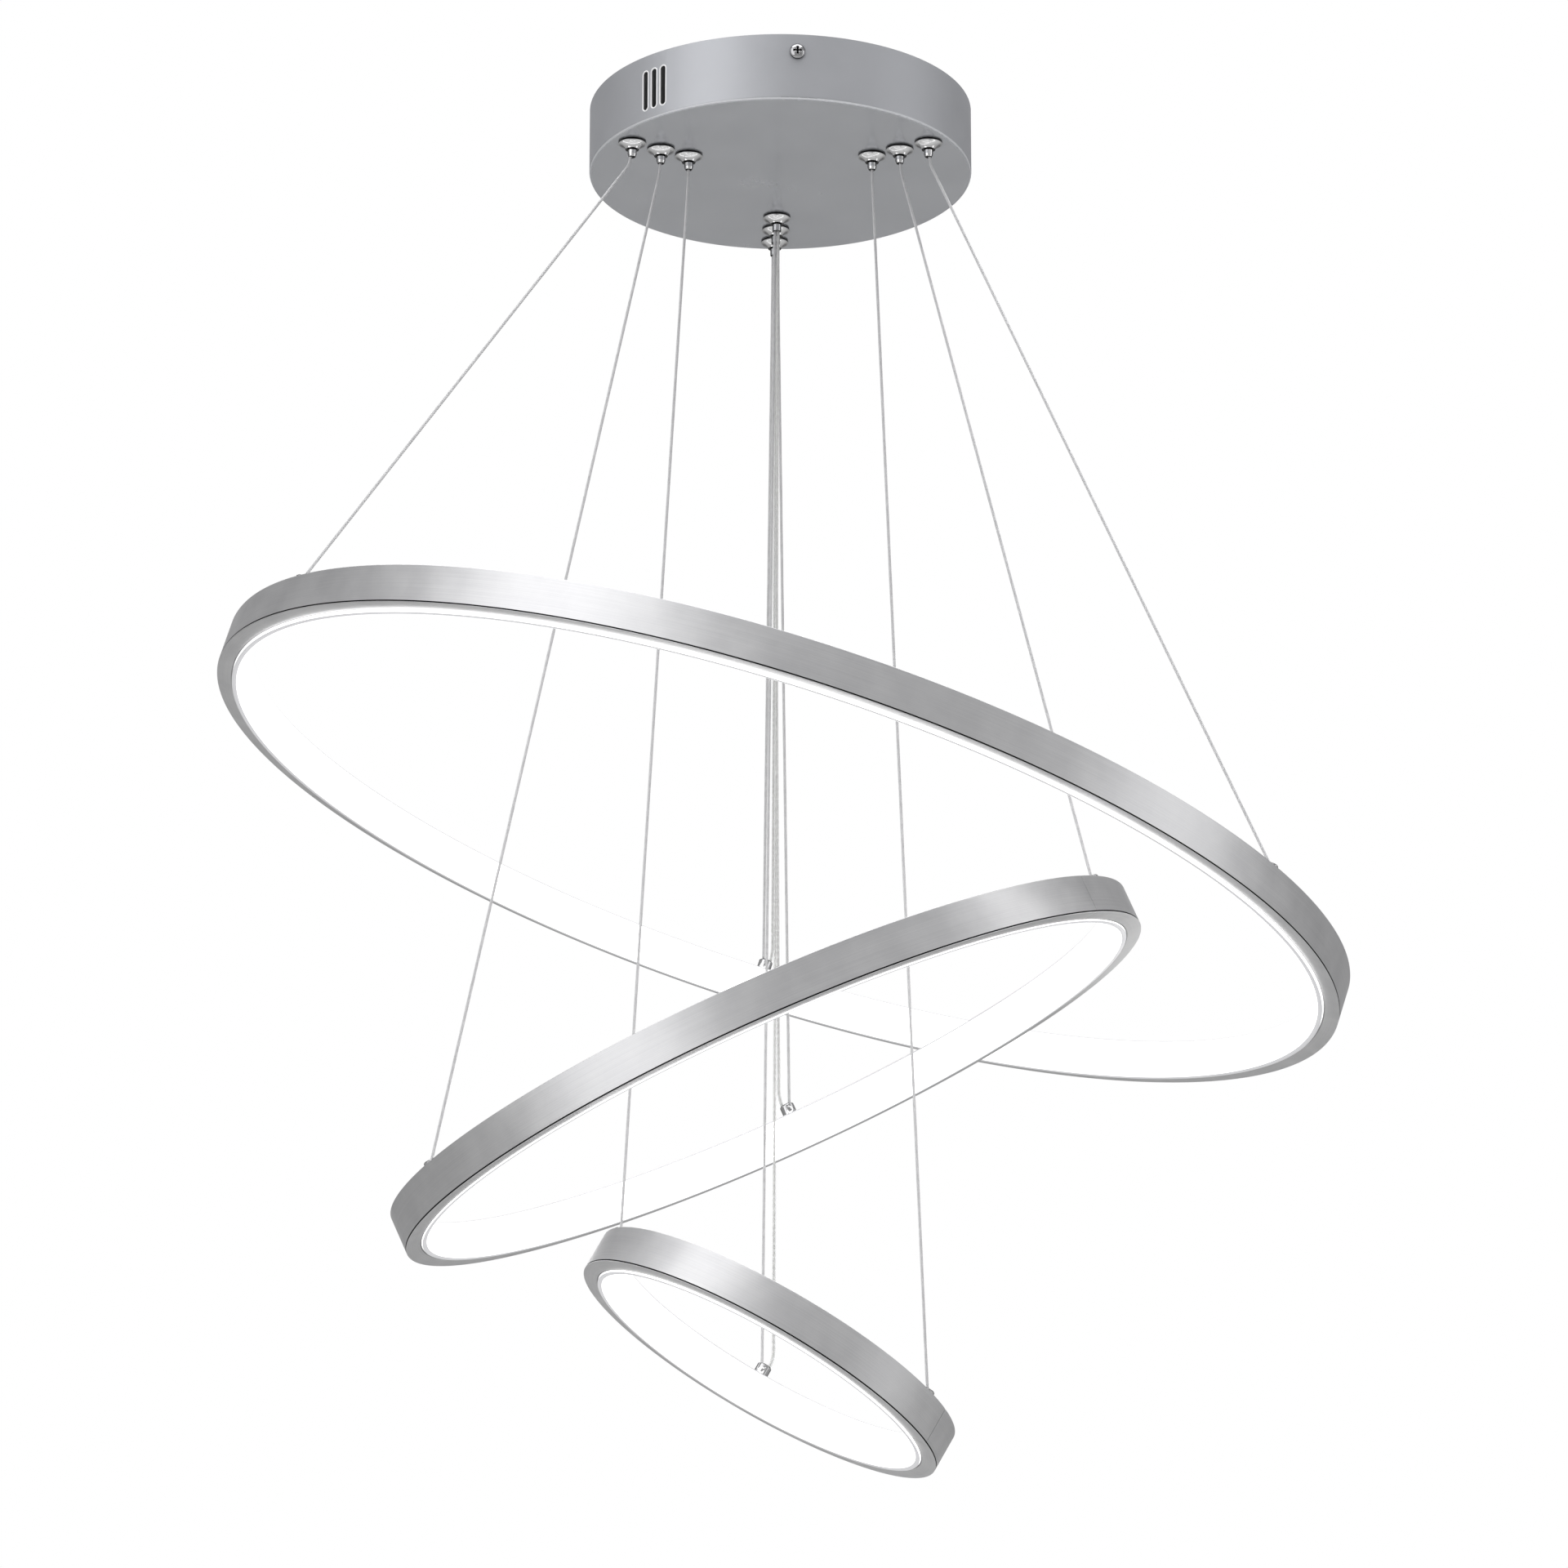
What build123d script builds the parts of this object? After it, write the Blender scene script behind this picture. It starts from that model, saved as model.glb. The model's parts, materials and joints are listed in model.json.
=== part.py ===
from build123d import *
import os
from math import cos, degrees, pi, radians, sin, sqrt

# Three-ring pendant chandelier with LED light, in millimetres. The origin is the centre of the
# canopy's open top, on the ceiling. Z points up, and the rings hang below.

os.makedirs("parts", exist_ok=True)

# Canopy, a drawn sheet drum that closes against the ceiling
canopy_diameter = 200.0
canopy_height = 36.0
sheet = 1.2
fold_radius = 1.6
side_screw_angles = (-85.0, 95.0)
side_screw_drop = 9.7
vent_angles = (-133.9, -130.5, -127.1, 46.1, 49.5, 52.9)
vent_length = 21.5
vent_width = 3.2
vent_drop = 19.4
hole_clearance = 0.1
screw_clearance = 0.25

# Ceiling bracket, a folded strap
strap_width = 18.0
strap_thickness = 1.6
tab_length = 17.0
ceiling_hole_circle = 70.0
ceiling_hole = 5.0
mains_hole = 14.0
earth_offset = 20.0
tag_width = 4.0
tag_length = 12.0
tag_reach = 8.0
tag_thickness = 0.8

# Pan-head M4 screws in the canopy's side
screw_thread = 4.0
screw_head = 8.0
screw_head_height = 2.6
screw_length = 8.0
screw_play = 0.05
crown_rise = 1.56
recess_depth = 1.56
cross_width = 1.1
cross_span = 4.4

# Wire grippers, three rows of three
gripper_angles = (-150.0, -30.0, 92.0)
flange_diameter = 14.4
flange_height = 1.0
dome_diameter = 13.0
dome_end_diameter = 7.0
dome_height = 3.2
dome_waist_diameter = 9.36
dome_waist_drop = 1.28
stem_diameter = 7.8
stem_height = 8.0
chamber_diameter = 6.2
chamber_height = 5.0
guide_length = 2.0
plunger_diameter = 4.7
plunger_tip = 3.7
plunger_reach = 4.2
plunger_travel = 2.0
collar_diameter = 5.6
collar_height = 1.2
collar_gap = 0.05
taper_gap = 0.4
spring_seat_depth = 0.2
spring_seat_height = 2.2
running_fit = 0.07
nut_across = 11.0
nut_height = 3.0

# Suspension wires and power leads
wire_diameter = 1.5
wire_bore = 2.1
wire_bend = 5.5
wire_bend_drop = 2.0
wire_tail = 3.0
ball_diameter = 3.0
lead_diameter = 1.8
lead_bend = 9.0
lead_bend_drop = 3.2
lead_end = 1.5
shared_bore = 3.6
wire_aside = 0.97
lead_aside = 0.77

# Ring section: an aluminium channel that opens inwards, and an opal diffuser in its mouth
ring_height = 20.0
ring_width = 12.0
lip_reach = 8.5
wall = 1.6
groove_depth = 0.7
groove_width = 0.7
groove_rise = 0.4
edge_chamfer = 0.3
diffuser_drop = 0.6
diffuser_wall = 1.8
diffuser_leg = 3.0
diffuser_round = 1.6
strip_width = 10.0
strip_thickness = 0.35
chip = (0.8, 2.8, 3.5)
chip_pitch = 25.0
chip_gap = 0.2
seam = 0.3
splice = (0.9, 22.0, 11.0)
splice_gap = 0.6

# Anchors on the rings' top faces: low ones for a wire, and tall ones for a wire and a power lead
anchor_inset = 4.5
anchors = {
    "low": {
        "diameter": 7.0,
        "height": 1.6,
        "bevel": 0.5,
        "cup_diameter": 3.2,
        "stud_diameter": 4.4,
        "nut_across": 5.6,
        "nut_turn": 30.0,
    },
    "tall": {
        "diameter": 7.6,
        "height": 5.5,
        "bevel": 0.8,
        "cup_diameter": 3.6,
        "stud_diameter": 2.5,
        "nut_across": 4.6,
        "nut_turn": 0.0,
    },
}
anchor_kinds = {"left": "low", "right": "low", "far": "tall"}
cup_mouth = 5.4
ball_sink = 1.2
stud_end = 0.3
anchor_nut_height = 2.0
relief_diameter = 7.6
relief_depth = 2.0
entry_diameter = 2.4
cup_aside = 1.3
entry_aside = 2.2
lead_stub = 4.5

# Where each ring hangs: its middle, its lean, the side that is low, and its wires
rings = {
    "large": {
        "diameter": 600.0,
        "centre": (-0.2, 29.0, -389.9),
        "lean": 17.5,
        "low_side": -3.0,
        "row_radius": 88.5,
        "anchors": (-148.0, -33.0, 92.5),
        "seam_angle": 150.0,
        "diffuser_proud": 1.5,
    },
    "middle": {
        "diameter": 400.0,
        "centre": (-6.3, -25.5, -532.1),
        "lean": 24.5,
        "low_side": -168.5,
        "row_radius": 71.5,
        "anchors": (-152.5, -24.0, 85.0),
        "seam_angle": -31.0,
        "diffuser_proud": 0.6,
    },
    "small": {
        "diameter": 200.0,
        "centre": (-5.7, -1.0, -668.9),
        "lean": 29.3,
        "low_side": 1.7,
        "row_radius": 55.0,
        "anchors": (-159.5, -29.5, 96.5),
        "seam_angle": -20.5,
        "diffuser_proud": 0.9,
    },
}
side_names = ("left", "right", "far")

# Driver and terminals inside the canopy
driver_size = (96.0, 36.0, 18.0)
driver_middle_y = 2.0
driver_wall = 1.5
driver_corner = 2.5
lid_thickness = 1.5
lid_rim = 1.5
lid_play = 0.2
pad_thickness = 1.0
pad_margin = 5.0
post_diameter = 5.2
post_height = 3.5
post_margin = 6.0
board_thickness = 1.6
board_margin = 1.0
transformer = (18.0, 15.0, 9.0)
transformer_spot = (8.0, 0.0)
component_height = 8.0
small_can_diameter = 8.4
small_can_spots = ((-14.0, 5.0), (-14.0, -6.0))
large_can_diameter = 10.0
large_can_spot = (-32.0, 0.0)
coil = (10.0, 5.0)
coil_spots = ((28.0, 4.0), (28.0, -6.0))
outlet_level = 12.96
outlet_pitch = 8.0
outlet_turn = 14.0
output_bend = 3.5
inlet_level = 9.0
lead_hole_play = 0.15
terminal_size = (30.0, 16.0, 13.0)
terminal_middle_y = -46.0
pole_pitch = 9.0
pole_hole = 3.2
pole_level = 5.85
terminal_corner = 1.5
terminal_screw = 3.0
terminal_well_depth = 6.0
terminal_well_play = 0.2
terminal_screw_drop = 1.2
terminal_screw_length = 3.6
driver_slot = (0.6, 0.8)
input_lead_diameter = 2.4
input_bend = 4.0

underside = -canopy_height
floor = underside + sheet
canopy_radius = canopy_diameter / 2
tip_bottom = underside - flange_height - dome_height - plunger_reach
stem_top = underside + stem_height


def save(part, label):
    part.label = label
    export_step(part, f"parts/{label}.step")


def polar(radius, angle, z=0.0):
    return Vector(radius * cos(radians(angle)), radius * sin(radians(angle)), z)


def upright(plane):
    """The plane through a plane's own axis: across is its X direction, and up is its normal."""
    return Plane(origin=plane.origin, x_dir=plane.x_dir, z_dir=-plane.y_dir)


def turned(plane):
    return Axis(plane.origin, plane.z_dir)


def ring_plane(ring):
    lean, side = radians(ring["lean"]), ring["low_side"]
    normal = polar(sin(lean), side, cos(lean))
    return Plane(origin=ring["centre"], x_dir=(1, 0, 0), z_dir=normal)


def on_ring(ring, inset, angle, height=0.0, aside=0.0):
    """A plane on the ring, inset from its outside. Its X direction points outwards."""
    radius = ring["diameter"] / 2 - inset
    home = ring_plane(ring)
    outward = home.x_dir * cos(radians(angle)) + home.y_dir * sin(radians(angle))
    place = home.origin + outward * radius + home.z_dir * height
    place += home.z_dir.cross(outward) * aside
    return Plane(origin=place, x_dir=outward, z_dir=home.z_dir)


def cross_recess(plane, depth):
    """A cross slot cut down into the face that the plane lies on."""
    with BuildSketch(plane) as cross:
        Rectangle(cross_span, cross_width)
        Rectangle(cross_width, cross_span)
    extrude(cross.sketch, amount=-depth, mode=Mode.SUBTRACT)


def gripper_places():
    """Name, ring and plane of each of the nine grippers, on the canopy's underside."""
    for size, ring in rings.items():
        for side, angle in zip(side_names, gripper_angles):
            spot = polar(ring["row_radius"], angle, underside)
            yield size, side, Plane(origin=spot, x_dir=(1, 0, 0), z_dir=(0, 0, 1))


def bore_of(side):
    return shared_bore if side == "far" else wire_bore


# --- canopy and bracket -------------------------------------------------------------------


def make_canopy():
    with BuildPart() as canopy_shell:
        Cylinder(canopy_radius, canopy_height, align=(Align.CENTER, Align.CENTER, Align.MAX))
        fillet(canopy_shell.edges().group_by(Axis.Z)[0], radius=fold_radius)
        offset(amount=-sheet, openings=canopy_shell.faces().sort_by(Axis.Z)[-1])
        for size, side, spot in gripper_places():
            with BuildSketch(spot):
                Circle(stem_diameter / 2 + hole_clearance)
            extrude(amount=sheet, mode=Mode.SUBTRACT)
        for angle in side_screw_angles:
            spot = polar(canopy_radius, angle, -side_screw_drop)
            with BuildSketch(Plane(origin=spot, x_dir=(0, 0, 1), z_dir=polar(1, angle))):
                Circle(screw_thread / 2 + screw_clearance)
            extrude(amount=-2 * sheet, mode=Mode.SUBTRACT)
        for angle in vent_angles:
            spot = polar(canopy_radius + 1, angle, -vent_drop)
            with BuildSketch(Plane(origin=spot, x_dir=(0, 0, 1), z_dir=polar(1, angle))):
                SlotOverall(vent_length, vent_width)
            extrude(amount=-2 * sheet - 1, mode=Mode.SUBTRACT)
    save(canopy_shell.part, "canopy_shell")


def bracket_plane():
    return Plane(origin=(0, 0, 0), x_dir=polar(1, side_screw_angles[0]), z_dir=(0, 0, 1))


def tab_reach():
    """How far out a flat tab stands inside the round wall."""
    inside = canopy_radius - sheet
    return sqrt(inside**2 - (strap_width / 2) ** 2) - hole_clearance


def make_bracket():
    strap = bracket_plane()
    reach = tab_reach()
    with BuildPart() as ceiling_bracket:
        with BuildSketch(upright(strap)):
            with BuildLine():
                Polyline(
                    (-reach, -tab_length),
                    (-reach, 0),
                    (reach, 0),
                    (reach, -tab_length),
                    (reach - strap_thickness, -tab_length),
                    (reach - strap_thickness, -strap_thickness),
                    (strap_thickness - reach, -strap_thickness),
                    (strap_thickness - reach, -tab_length),
                    close=True,
                )
            make_face()
        extrude(amount=strap_width / 2, both=True)
        with BuildSketch(strap):
            with PolarLocations(ceiling_hole_circle / 2, 2):
                Circle(ceiling_hole / 2)
            Circle(mains_hole / 2)
            with Locations((earth_offset, 0)):
                Circle(screw_thread / 2)
        extrude(amount=-strap_thickness, mode=Mode.SUBTRACT)
        for angle in side_screw_angles:
            spot = polar(canopy_radius, angle, -side_screw_drop)
            with BuildSketch(Plane(origin=spot, x_dir=(0, 0, 1), z_dir=polar(1, angle))):
                Circle(screw_thread / 2 + screw_play)
            extrude(amount=-3 * strap_thickness, mode=Mode.SUBTRACT)
    save(ceiling_bracket.part, "ceiling_bracket")


def pan_screw(head_plane, length):
    """A pan-head screw whose head sits on the plane, with its thread down through it."""
    side = upright(head_plane)
    reach, rise = screw_head / 2, crown_rise
    crown_radius = (reach**2 + rise**2) / (2 * rise)
    half_way = screw_head_height - crown_radius + sqrt(crown_radius**2 - (reach / 2) ** 2)
    with BuildSketch(side) as head:
        with BuildLine():
            bottom = Line((0, 0), (reach, 0))
            rim = Line(bottom @ 1, (reach, screw_head_height - rise))
            crown = (0, screw_head_height)
            ThreePointArc(rim @ 1, (reach / 2, half_way), crown)
            Line(crown, (0, 0))
        make_face()
    revolve(head.sketch, axis=turned(head_plane))
    with BuildSketch(head_plane) as thread:
        Circle(screw_thread / 2)
    extrude(thread.sketch, amount=-length)


def make_side_screws():
    with BuildPart() as canopy_side_screws:
        for angle in side_screw_angles:
            spot = polar(canopy_radius, angle, -side_screw_drop)
            face = Plane(origin=spot, x_dir=(0, 0, 1), z_dir=polar(1, angle))
            pan_screw(face, screw_length)
            cross_recess(face.offset(screw_head_height), recess_depth)
    save(canopy_side_screws.part, "canopy_side_screws")


def make_earth_screw():
    """Screw and ring tag under the strap."""
    strap = bracket_plane()
    spot = strap.origin + strap.x_dir * earth_offset - strap.z_dir * strap_thickness
    face = Plane(origin=spot, x_dir=strap.x_dir, z_dir=(0, 0, -1))
    with BuildPart() as earth_screw:
        with BuildSketch(face):
            Circle(screw_head / 2)
            with Locations((0, tag_reach)):
                Rectangle(tag_width, tag_length)
        extrude(amount=tag_thickness)
        pan_screw(face.offset(tag_thickness), strap_thickness + tag_thickness)
        cross_recess(face.offset(tag_thickness + screw_head_height), recess_depth)
    save(earth_screw.part, "earth_screw")


# --- grippers -----------------------------------------------------------------------------


def gripper_body(spot, bore):
    """Flange and dome below the sheet, and a threaded stem above it, bored for its plunger."""
    chamber_bottom = -(flange_height + dome_height) + guide_length
    base = -(flange_height + dome_height)
    with BuildSketch(upright(spot)) as outline:
        with BuildLine():
            foot = Line((0, base), (dome_end_diameter / 2, base))
            dome_top = (dome_diameter / 2, -flange_height)
            waist = (dome_waist_diameter / 2, -flange_height - dome_waist_drop)
            ThreePointArc(foot @ 1, waist, dome_top)
            Polyline(
                dome_top,
                (flange_diameter / 2, -flange_height),
                (flange_diameter / 2, 0),
                (stem_diameter / 2, 0),
                (stem_diameter / 2, stem_height),
                (0, stem_height),
                (0, base),
            )
        make_face()
    revolve(outline.sketch, axis=turned(spot))
    for radius, low, high in (
        (plunger_diameter / 2 + running_fit, base, chamber_bottom),
        (chamber_diameter / 2, chamber_bottom, chamber_height),
        (bore / 2, chamber_height, stem_height),
    ):
        with BuildSketch(spot.offset(low)) as hole:
            Circle(radius)
        extrude(hole.sketch, amount=high - low, mode=Mode.SUBTRACT)


def make_grippers():
    for wanted in rings:
        with BuildPart() as bodies:
            for size, side, spot in gripper_places():
                if size == wanted:
                    gripper_body(spot, bore_of(side))
        save(bodies.part, f"{wanted}_ring_grippers")
    with BuildPart() as gripper_nuts:
        for size, side, spot in gripper_places():
            with BuildSketch(spot.offset(sheet)):
                RegularPolygon(nut_across / 2, 6, major_radius=False)
                Circle(stem_diameter / 2 + screw_play, mode=Mode.SUBTRACT)
            extrude(amount=nut_height)
    save(gripper_nuts.part, "gripper_nuts")


def make_plungers():
    base = -(flange_height + dome_height)
    shoulder = base + guide_length + collar_gap
    seat = shoulder + collar_height
    tip = base - plunger_reach
    radius = plunger_diameter / 2
    core = radius - spring_seat_depth
    for size, side, spot in gripper_places():
        end = radius if side == "far" else plunger_tip / 2
        with BuildPart() as plunger:
            with BuildSketch(upright(spot)):
                with BuildLine():
                    Polyline(
                        (bore_of(side) / 2, tip),
                        (end - edge_chamfer, tip),
                        (end, tip + edge_chamfer),
                        (radius, base - plunger_travel - taper_gap),
                        (radius, shoulder),
                        (collar_diameter / 2, shoulder),
                        (collar_diameter / 2, seat),
                        (core, seat),
                        (core, seat + spring_seat_height),
                        (bore_of(side) / 2, seat + spring_seat_height),
                        close=True,
                    )
                make_face()
            revolve(axis=turned(spot))
        save(plunger.part, f"{size}_{side}_plunger")


# --- rings --------------------------------------------------------------------------------


def anchor_spot(ring, side, height=0.0, aside=0.0):
    angle = ring["anchors"][side_names.index(side)]
    return on_ring(ring, anchor_inset, angle, ring_height / 2 + height, aside)


def hand_of(ring):
    """Which side of a far gripper the lead takes: the side that the ring's top leans to."""
    return 1 if cos(radians(ring["low_side"])) > 0 else -1


def anchor_of(side):
    return anchors[anchor_kinds[side]]


def cup_side(ring, side):
    return cup_aside * hand_of(ring) if side == "far" else 0.0


def entry_spot(ring, height=0.0):
    """The hole in a far anchor that the power lead goes down, and on through the ring's lip."""
    return anchor_spot(ring, "far", height, -entry_aside * hand_of(ring))


def make_profile(size, ring):
    """The aluminium channel, rolled to a ring, with its seam and the holes for its anchors."""
    outer, half = ring["diameter"] / 2, ring_height / 2
    groove_low = -half + groove_rise
    groove_high = groove_low + groove_width
    with BuildPart() as profile:
        with BuildSketch(upright(ring_plane(ring))):
            with BuildLine():
                Polyline(
                    (outer - edge_chamfer, -half),
                    (outer, -half + edge_chamfer),
                    (outer, groove_low),
                    (outer - groove_depth, groove_low),
                    (outer - groove_depth, groove_high),
                    (outer, groove_high + edge_chamfer),
                    (outer, half - edge_chamfer),
                    (outer - edge_chamfer, half),
                    (outer - lip_reach, half),
                    (outer - lip_reach, half - wall),
                    (outer - wall, half - wall),
                    (outer - wall, wall - half),
                    (outer - lip_reach, wall - half),
                    (outer - lip_reach, -half),
                    close=True,
                )
            make_face()
        revolve(axis=turned(ring_plane(ring)))
        for side in side_names:
            with BuildSketch(anchor_spot(ring, side, aside=cup_side(ring, side))):
                Circle(anchor_of(side)["stud_diameter"] / 2 + hole_clearance)
            extrude(amount=-wall, mode=Mode.SUBTRACT)
        with BuildSketch(entry_spot(ring)):
            Circle(entry_diameter / 2)
        extrude(amount=-wall, mode=Mode.SUBTRACT)
        with BuildSketch(on_ring(ring, ring_width / 2, ring["seam_angle"], -half)):
            Rectangle(ring_width + 2, seam)
        extrude(amount=ring_height, mode=Mode.SUBTRACT)
    save(profile.part, f"{size}_ring_profile")


def make_diffuser(size, ring):
    """A hollow opal insert. Its face stands proud of the lips, and two legs hold it in the mouth."""
    outer = ring["diameter"] / 2
    top = ring_height / 2 - diffuser_drop
    low = -ring_height / 2 - ring["diffuser_proud"]
    leg = ring_height / 2 - wall
    inner, mouth = outer - ring_width, outer - lip_reach
    with BuildPart() as diffuser:
        with BuildSketch(upright(ring_plane(ring))):
            with BuildLine():
                Polyline(
                    (inner + diffuser_round, top),
                    (mouth, top),
                    (mouth, leg),
                    (mouth + diffuser_leg, leg),
                    (mouth + diffuser_leg, leg - diffuser_wall),
                    (inner + diffuser_wall, leg - diffuser_wall),
                    (inner + diffuser_wall, diffuser_wall - leg),
                    (mouth + diffuser_leg, diffuser_wall - leg),
                    (mouth + diffuser_leg, -leg),
                    (mouth, -leg),
                    (mouth, low),
                    (inner + diffuser_round, low),
                )
                RadiusArc((inner + diffuser_round, low), (inner, low + diffuser_round), diffuser_round)
                Line((inner, low + diffuser_round), (inner, top - diffuser_round))
                RadiusArc((inner, top - diffuser_round), (inner + diffuser_round, top), diffuser_round)
            make_face()
        revolve(axis=turned(ring_plane(ring)))
        for side in side_names:
            with BuildSketch(anchor_spot(ring, side, height=-wall)):
                Circle(relief_diameter / 2)
            extrude(amount=-relief_depth, mode=Mode.SUBTRACT)
    save(diffuser.part, f"{size}_ring_diffuser")


def make_strip(size, ring):
    """The flexible circuit on the channel's wall, and the light-emitting chips on it."""
    face = ring["diameter"] / 2 - wall
    with BuildPart() as strip:
        with BuildSketch(upright(ring_plane(ring))):
            with Locations((face - strip_thickness / 2, 0)):
                Rectangle(strip_thickness, strip_width)
        revolve(axis=turned(ring_plane(ring)))
    save(strip.part, f"{size}_ring_led_strip")

    count = round(2 * pi * face / chip_pitch)
    chip_inset = wall + strip_thickness + chip_gap
    depth, width, height = chip
    with BuildPart() as chips:
        for n in range(count):
            spot = on_ring(ring, chip_inset, 360 * n / count, -height / 2)
            with BuildSketch(spot):
                with Locations((-depth / 2, 0)):
                    Rectangle(depth, width)
            extrude(amount=height)
    save(chips.part, f"{size}_ring_led_chips")


def make_splice(size, ring):
    """A plate behind the seam, bent to the channel's wall, with two rivets."""
    thick, length, high = splice
    back = ring["diameter"] / 2 - wall - strip_thickness - chip[0] - splice_gap
    sweep_angle = degrees(length / back)
    start = ring["seam_angle"] - sweep_angle / 2
    base = on_ring(ring, ring["diameter"] / 2, start)
    with BuildPart() as plate:
        with BuildSketch(upright(base)):
            with Locations((back - thick / 2, 0)):
                Rectangle(thick, high)
        revolve(axis=turned(base), revolution_arc=sweep_angle)
    save(plate.part, f"{size}_ring_splice_plate")


def anchor_barrel(ring, side):
    """A turned barrel with a cup for the wire's ball, and a stud down through the ring."""
    anchor = anchor_of(side)
    spot = anchor_spot(ring, side)
    cup = anchor_spot(ring, side, aside=cup_side(ring, side))
    radius, top = anchor["diameter"] / 2, anchor["height"]
    with BuildSketch(upright(spot)) as barrel:
        with BuildLine():
            Polyline(
                (0, 0),
                (radius, 0),
                (radius, top - anchor["bevel"]),
                (radius - anchor["bevel"], top),
                (0, top),
                close=True,
            )
        make_face()
    revolve(barrel.sketch, axis=turned(spot))
    with BuildSketch(cup) as stud:
        Circle(anchor["stud_diameter"] / 2)
    extrude(stud.sketch, amount=-wall - anchor_nut_height - stud_end)
    ball_level = top - ball_sink
    cup_radius = anchor["cup_diameter"] / 2
    with BuildSketch(upright(cup)) as hollow:
        with BuildLine():
            Polyline(
                (0, ball_level - cup_radius),
                (cup_radius, ball_level - cup_radius),
                (cup_radius, ball_level),
                (cup_mouth / 2, top),
                (0, top),
                close=True,
            )
        make_face()
    revolve(hollow.sketch, axis=turned(cup), mode=Mode.SUBTRACT)
    if side == "far":
        with BuildSketch(entry_spot(ring)) as entry:
            Circle(entry_diameter / 2)
        extrude(entry.sketch, amount=top, mode=Mode.SUBTRACT)


def make_anchors(size, ring):
    with BuildPart() as barrels:
        for side in side_names:
            anchor_barrel(ring, side)
    save(barrels.part, f"{size}_ring_anchors")
    with BuildPart() as nuts:
        for side in side_names:
            anchor = anchor_of(side)
            spot = anchor_spot(ring, side, height=-wall, aside=cup_side(ring, side))
            with BuildSketch(spot):
                RegularPolygon(anchor["nut_across"] / 2, 6, major_radius=False, rotation=anchor["nut_turn"])
                Circle(anchor["stud_diameter"] / 2 + screw_play, mode=Mode.SUBTRACT)
            extrude(amount=-anchor_nut_height)
    save(nuts.part, f"{size}_ring_anchor_nuts")


# --- wires and leads ----------------------------------------------------------------------


def tube(points, radii, diameter):
    """A round tube along straight runs with tangent arcs."""
    with BuildLine() as route:
        FilletPolyline(*points, radius=radii)
    with BuildSketch(Plane(origin=points[0], z_dir=points[1] - points[0])) as end:
        Circle(diameter / 2)
    sweep(sections=end.sketch, path=route.wires()[0])


def make_wires():
    for size, side, spot in gripper_places():
        ring = rings[size]
        across = -wire_aside * hand_of(ring) if side == "far" else 0.0
        top = spot.origin + Vector(across, 0, stem_height + wire_tail)
        bend = Vector(top.X, top.Y, tip_bottom - wire_bend_drop)
        ball_height = anchor_of(side)["height"] - ball_sink
        ball = anchor_spot(ring, side, ball_height, cup_side(ring, side)).origin
        with BuildPart() as suspension_wire:
            tube([top, bend, ball], [wire_bend], wire_diameter)
            with Locations(Plane(origin=ball, z_dir=ball - bend).location):
                Sphere(ball_diameter / 2)
        save(suspension_wire.part, f"{size}_{side}_wire")


def lead_top(size):
    """Where a power lead goes down into the top of its far gripper."""
    ring = rings[size]
    return polar(ring["row_radius"], gripper_angles[2], stem_top) + Vector(lead_aside * hand_of(ring), 0, 0)


def make_leads():
    for size, ring in rings.items():
        top = lead_top(size)
        bend = Vector(top.X, top.Y, tip_bottom - lead_bend_drop)
        hood = entry_spot(ring, anchors["tall"]["height"] + lead_stub).origin
        inside = entry_spot(ring, -wall - lead_end).origin
        with BuildPart() as power_lead:
            tube([top, bend, hood, inside], [lead_bend, lead_bend], lead_diameter)
        save(power_lead.part, f"{size}_power_lead")


# --- driver and terminals -----------------------------------------------------------------


def driver_plane(height=0.0):
    return Plane(origin=(0, driver_middle_y, floor + pad_thickness + height))


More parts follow.
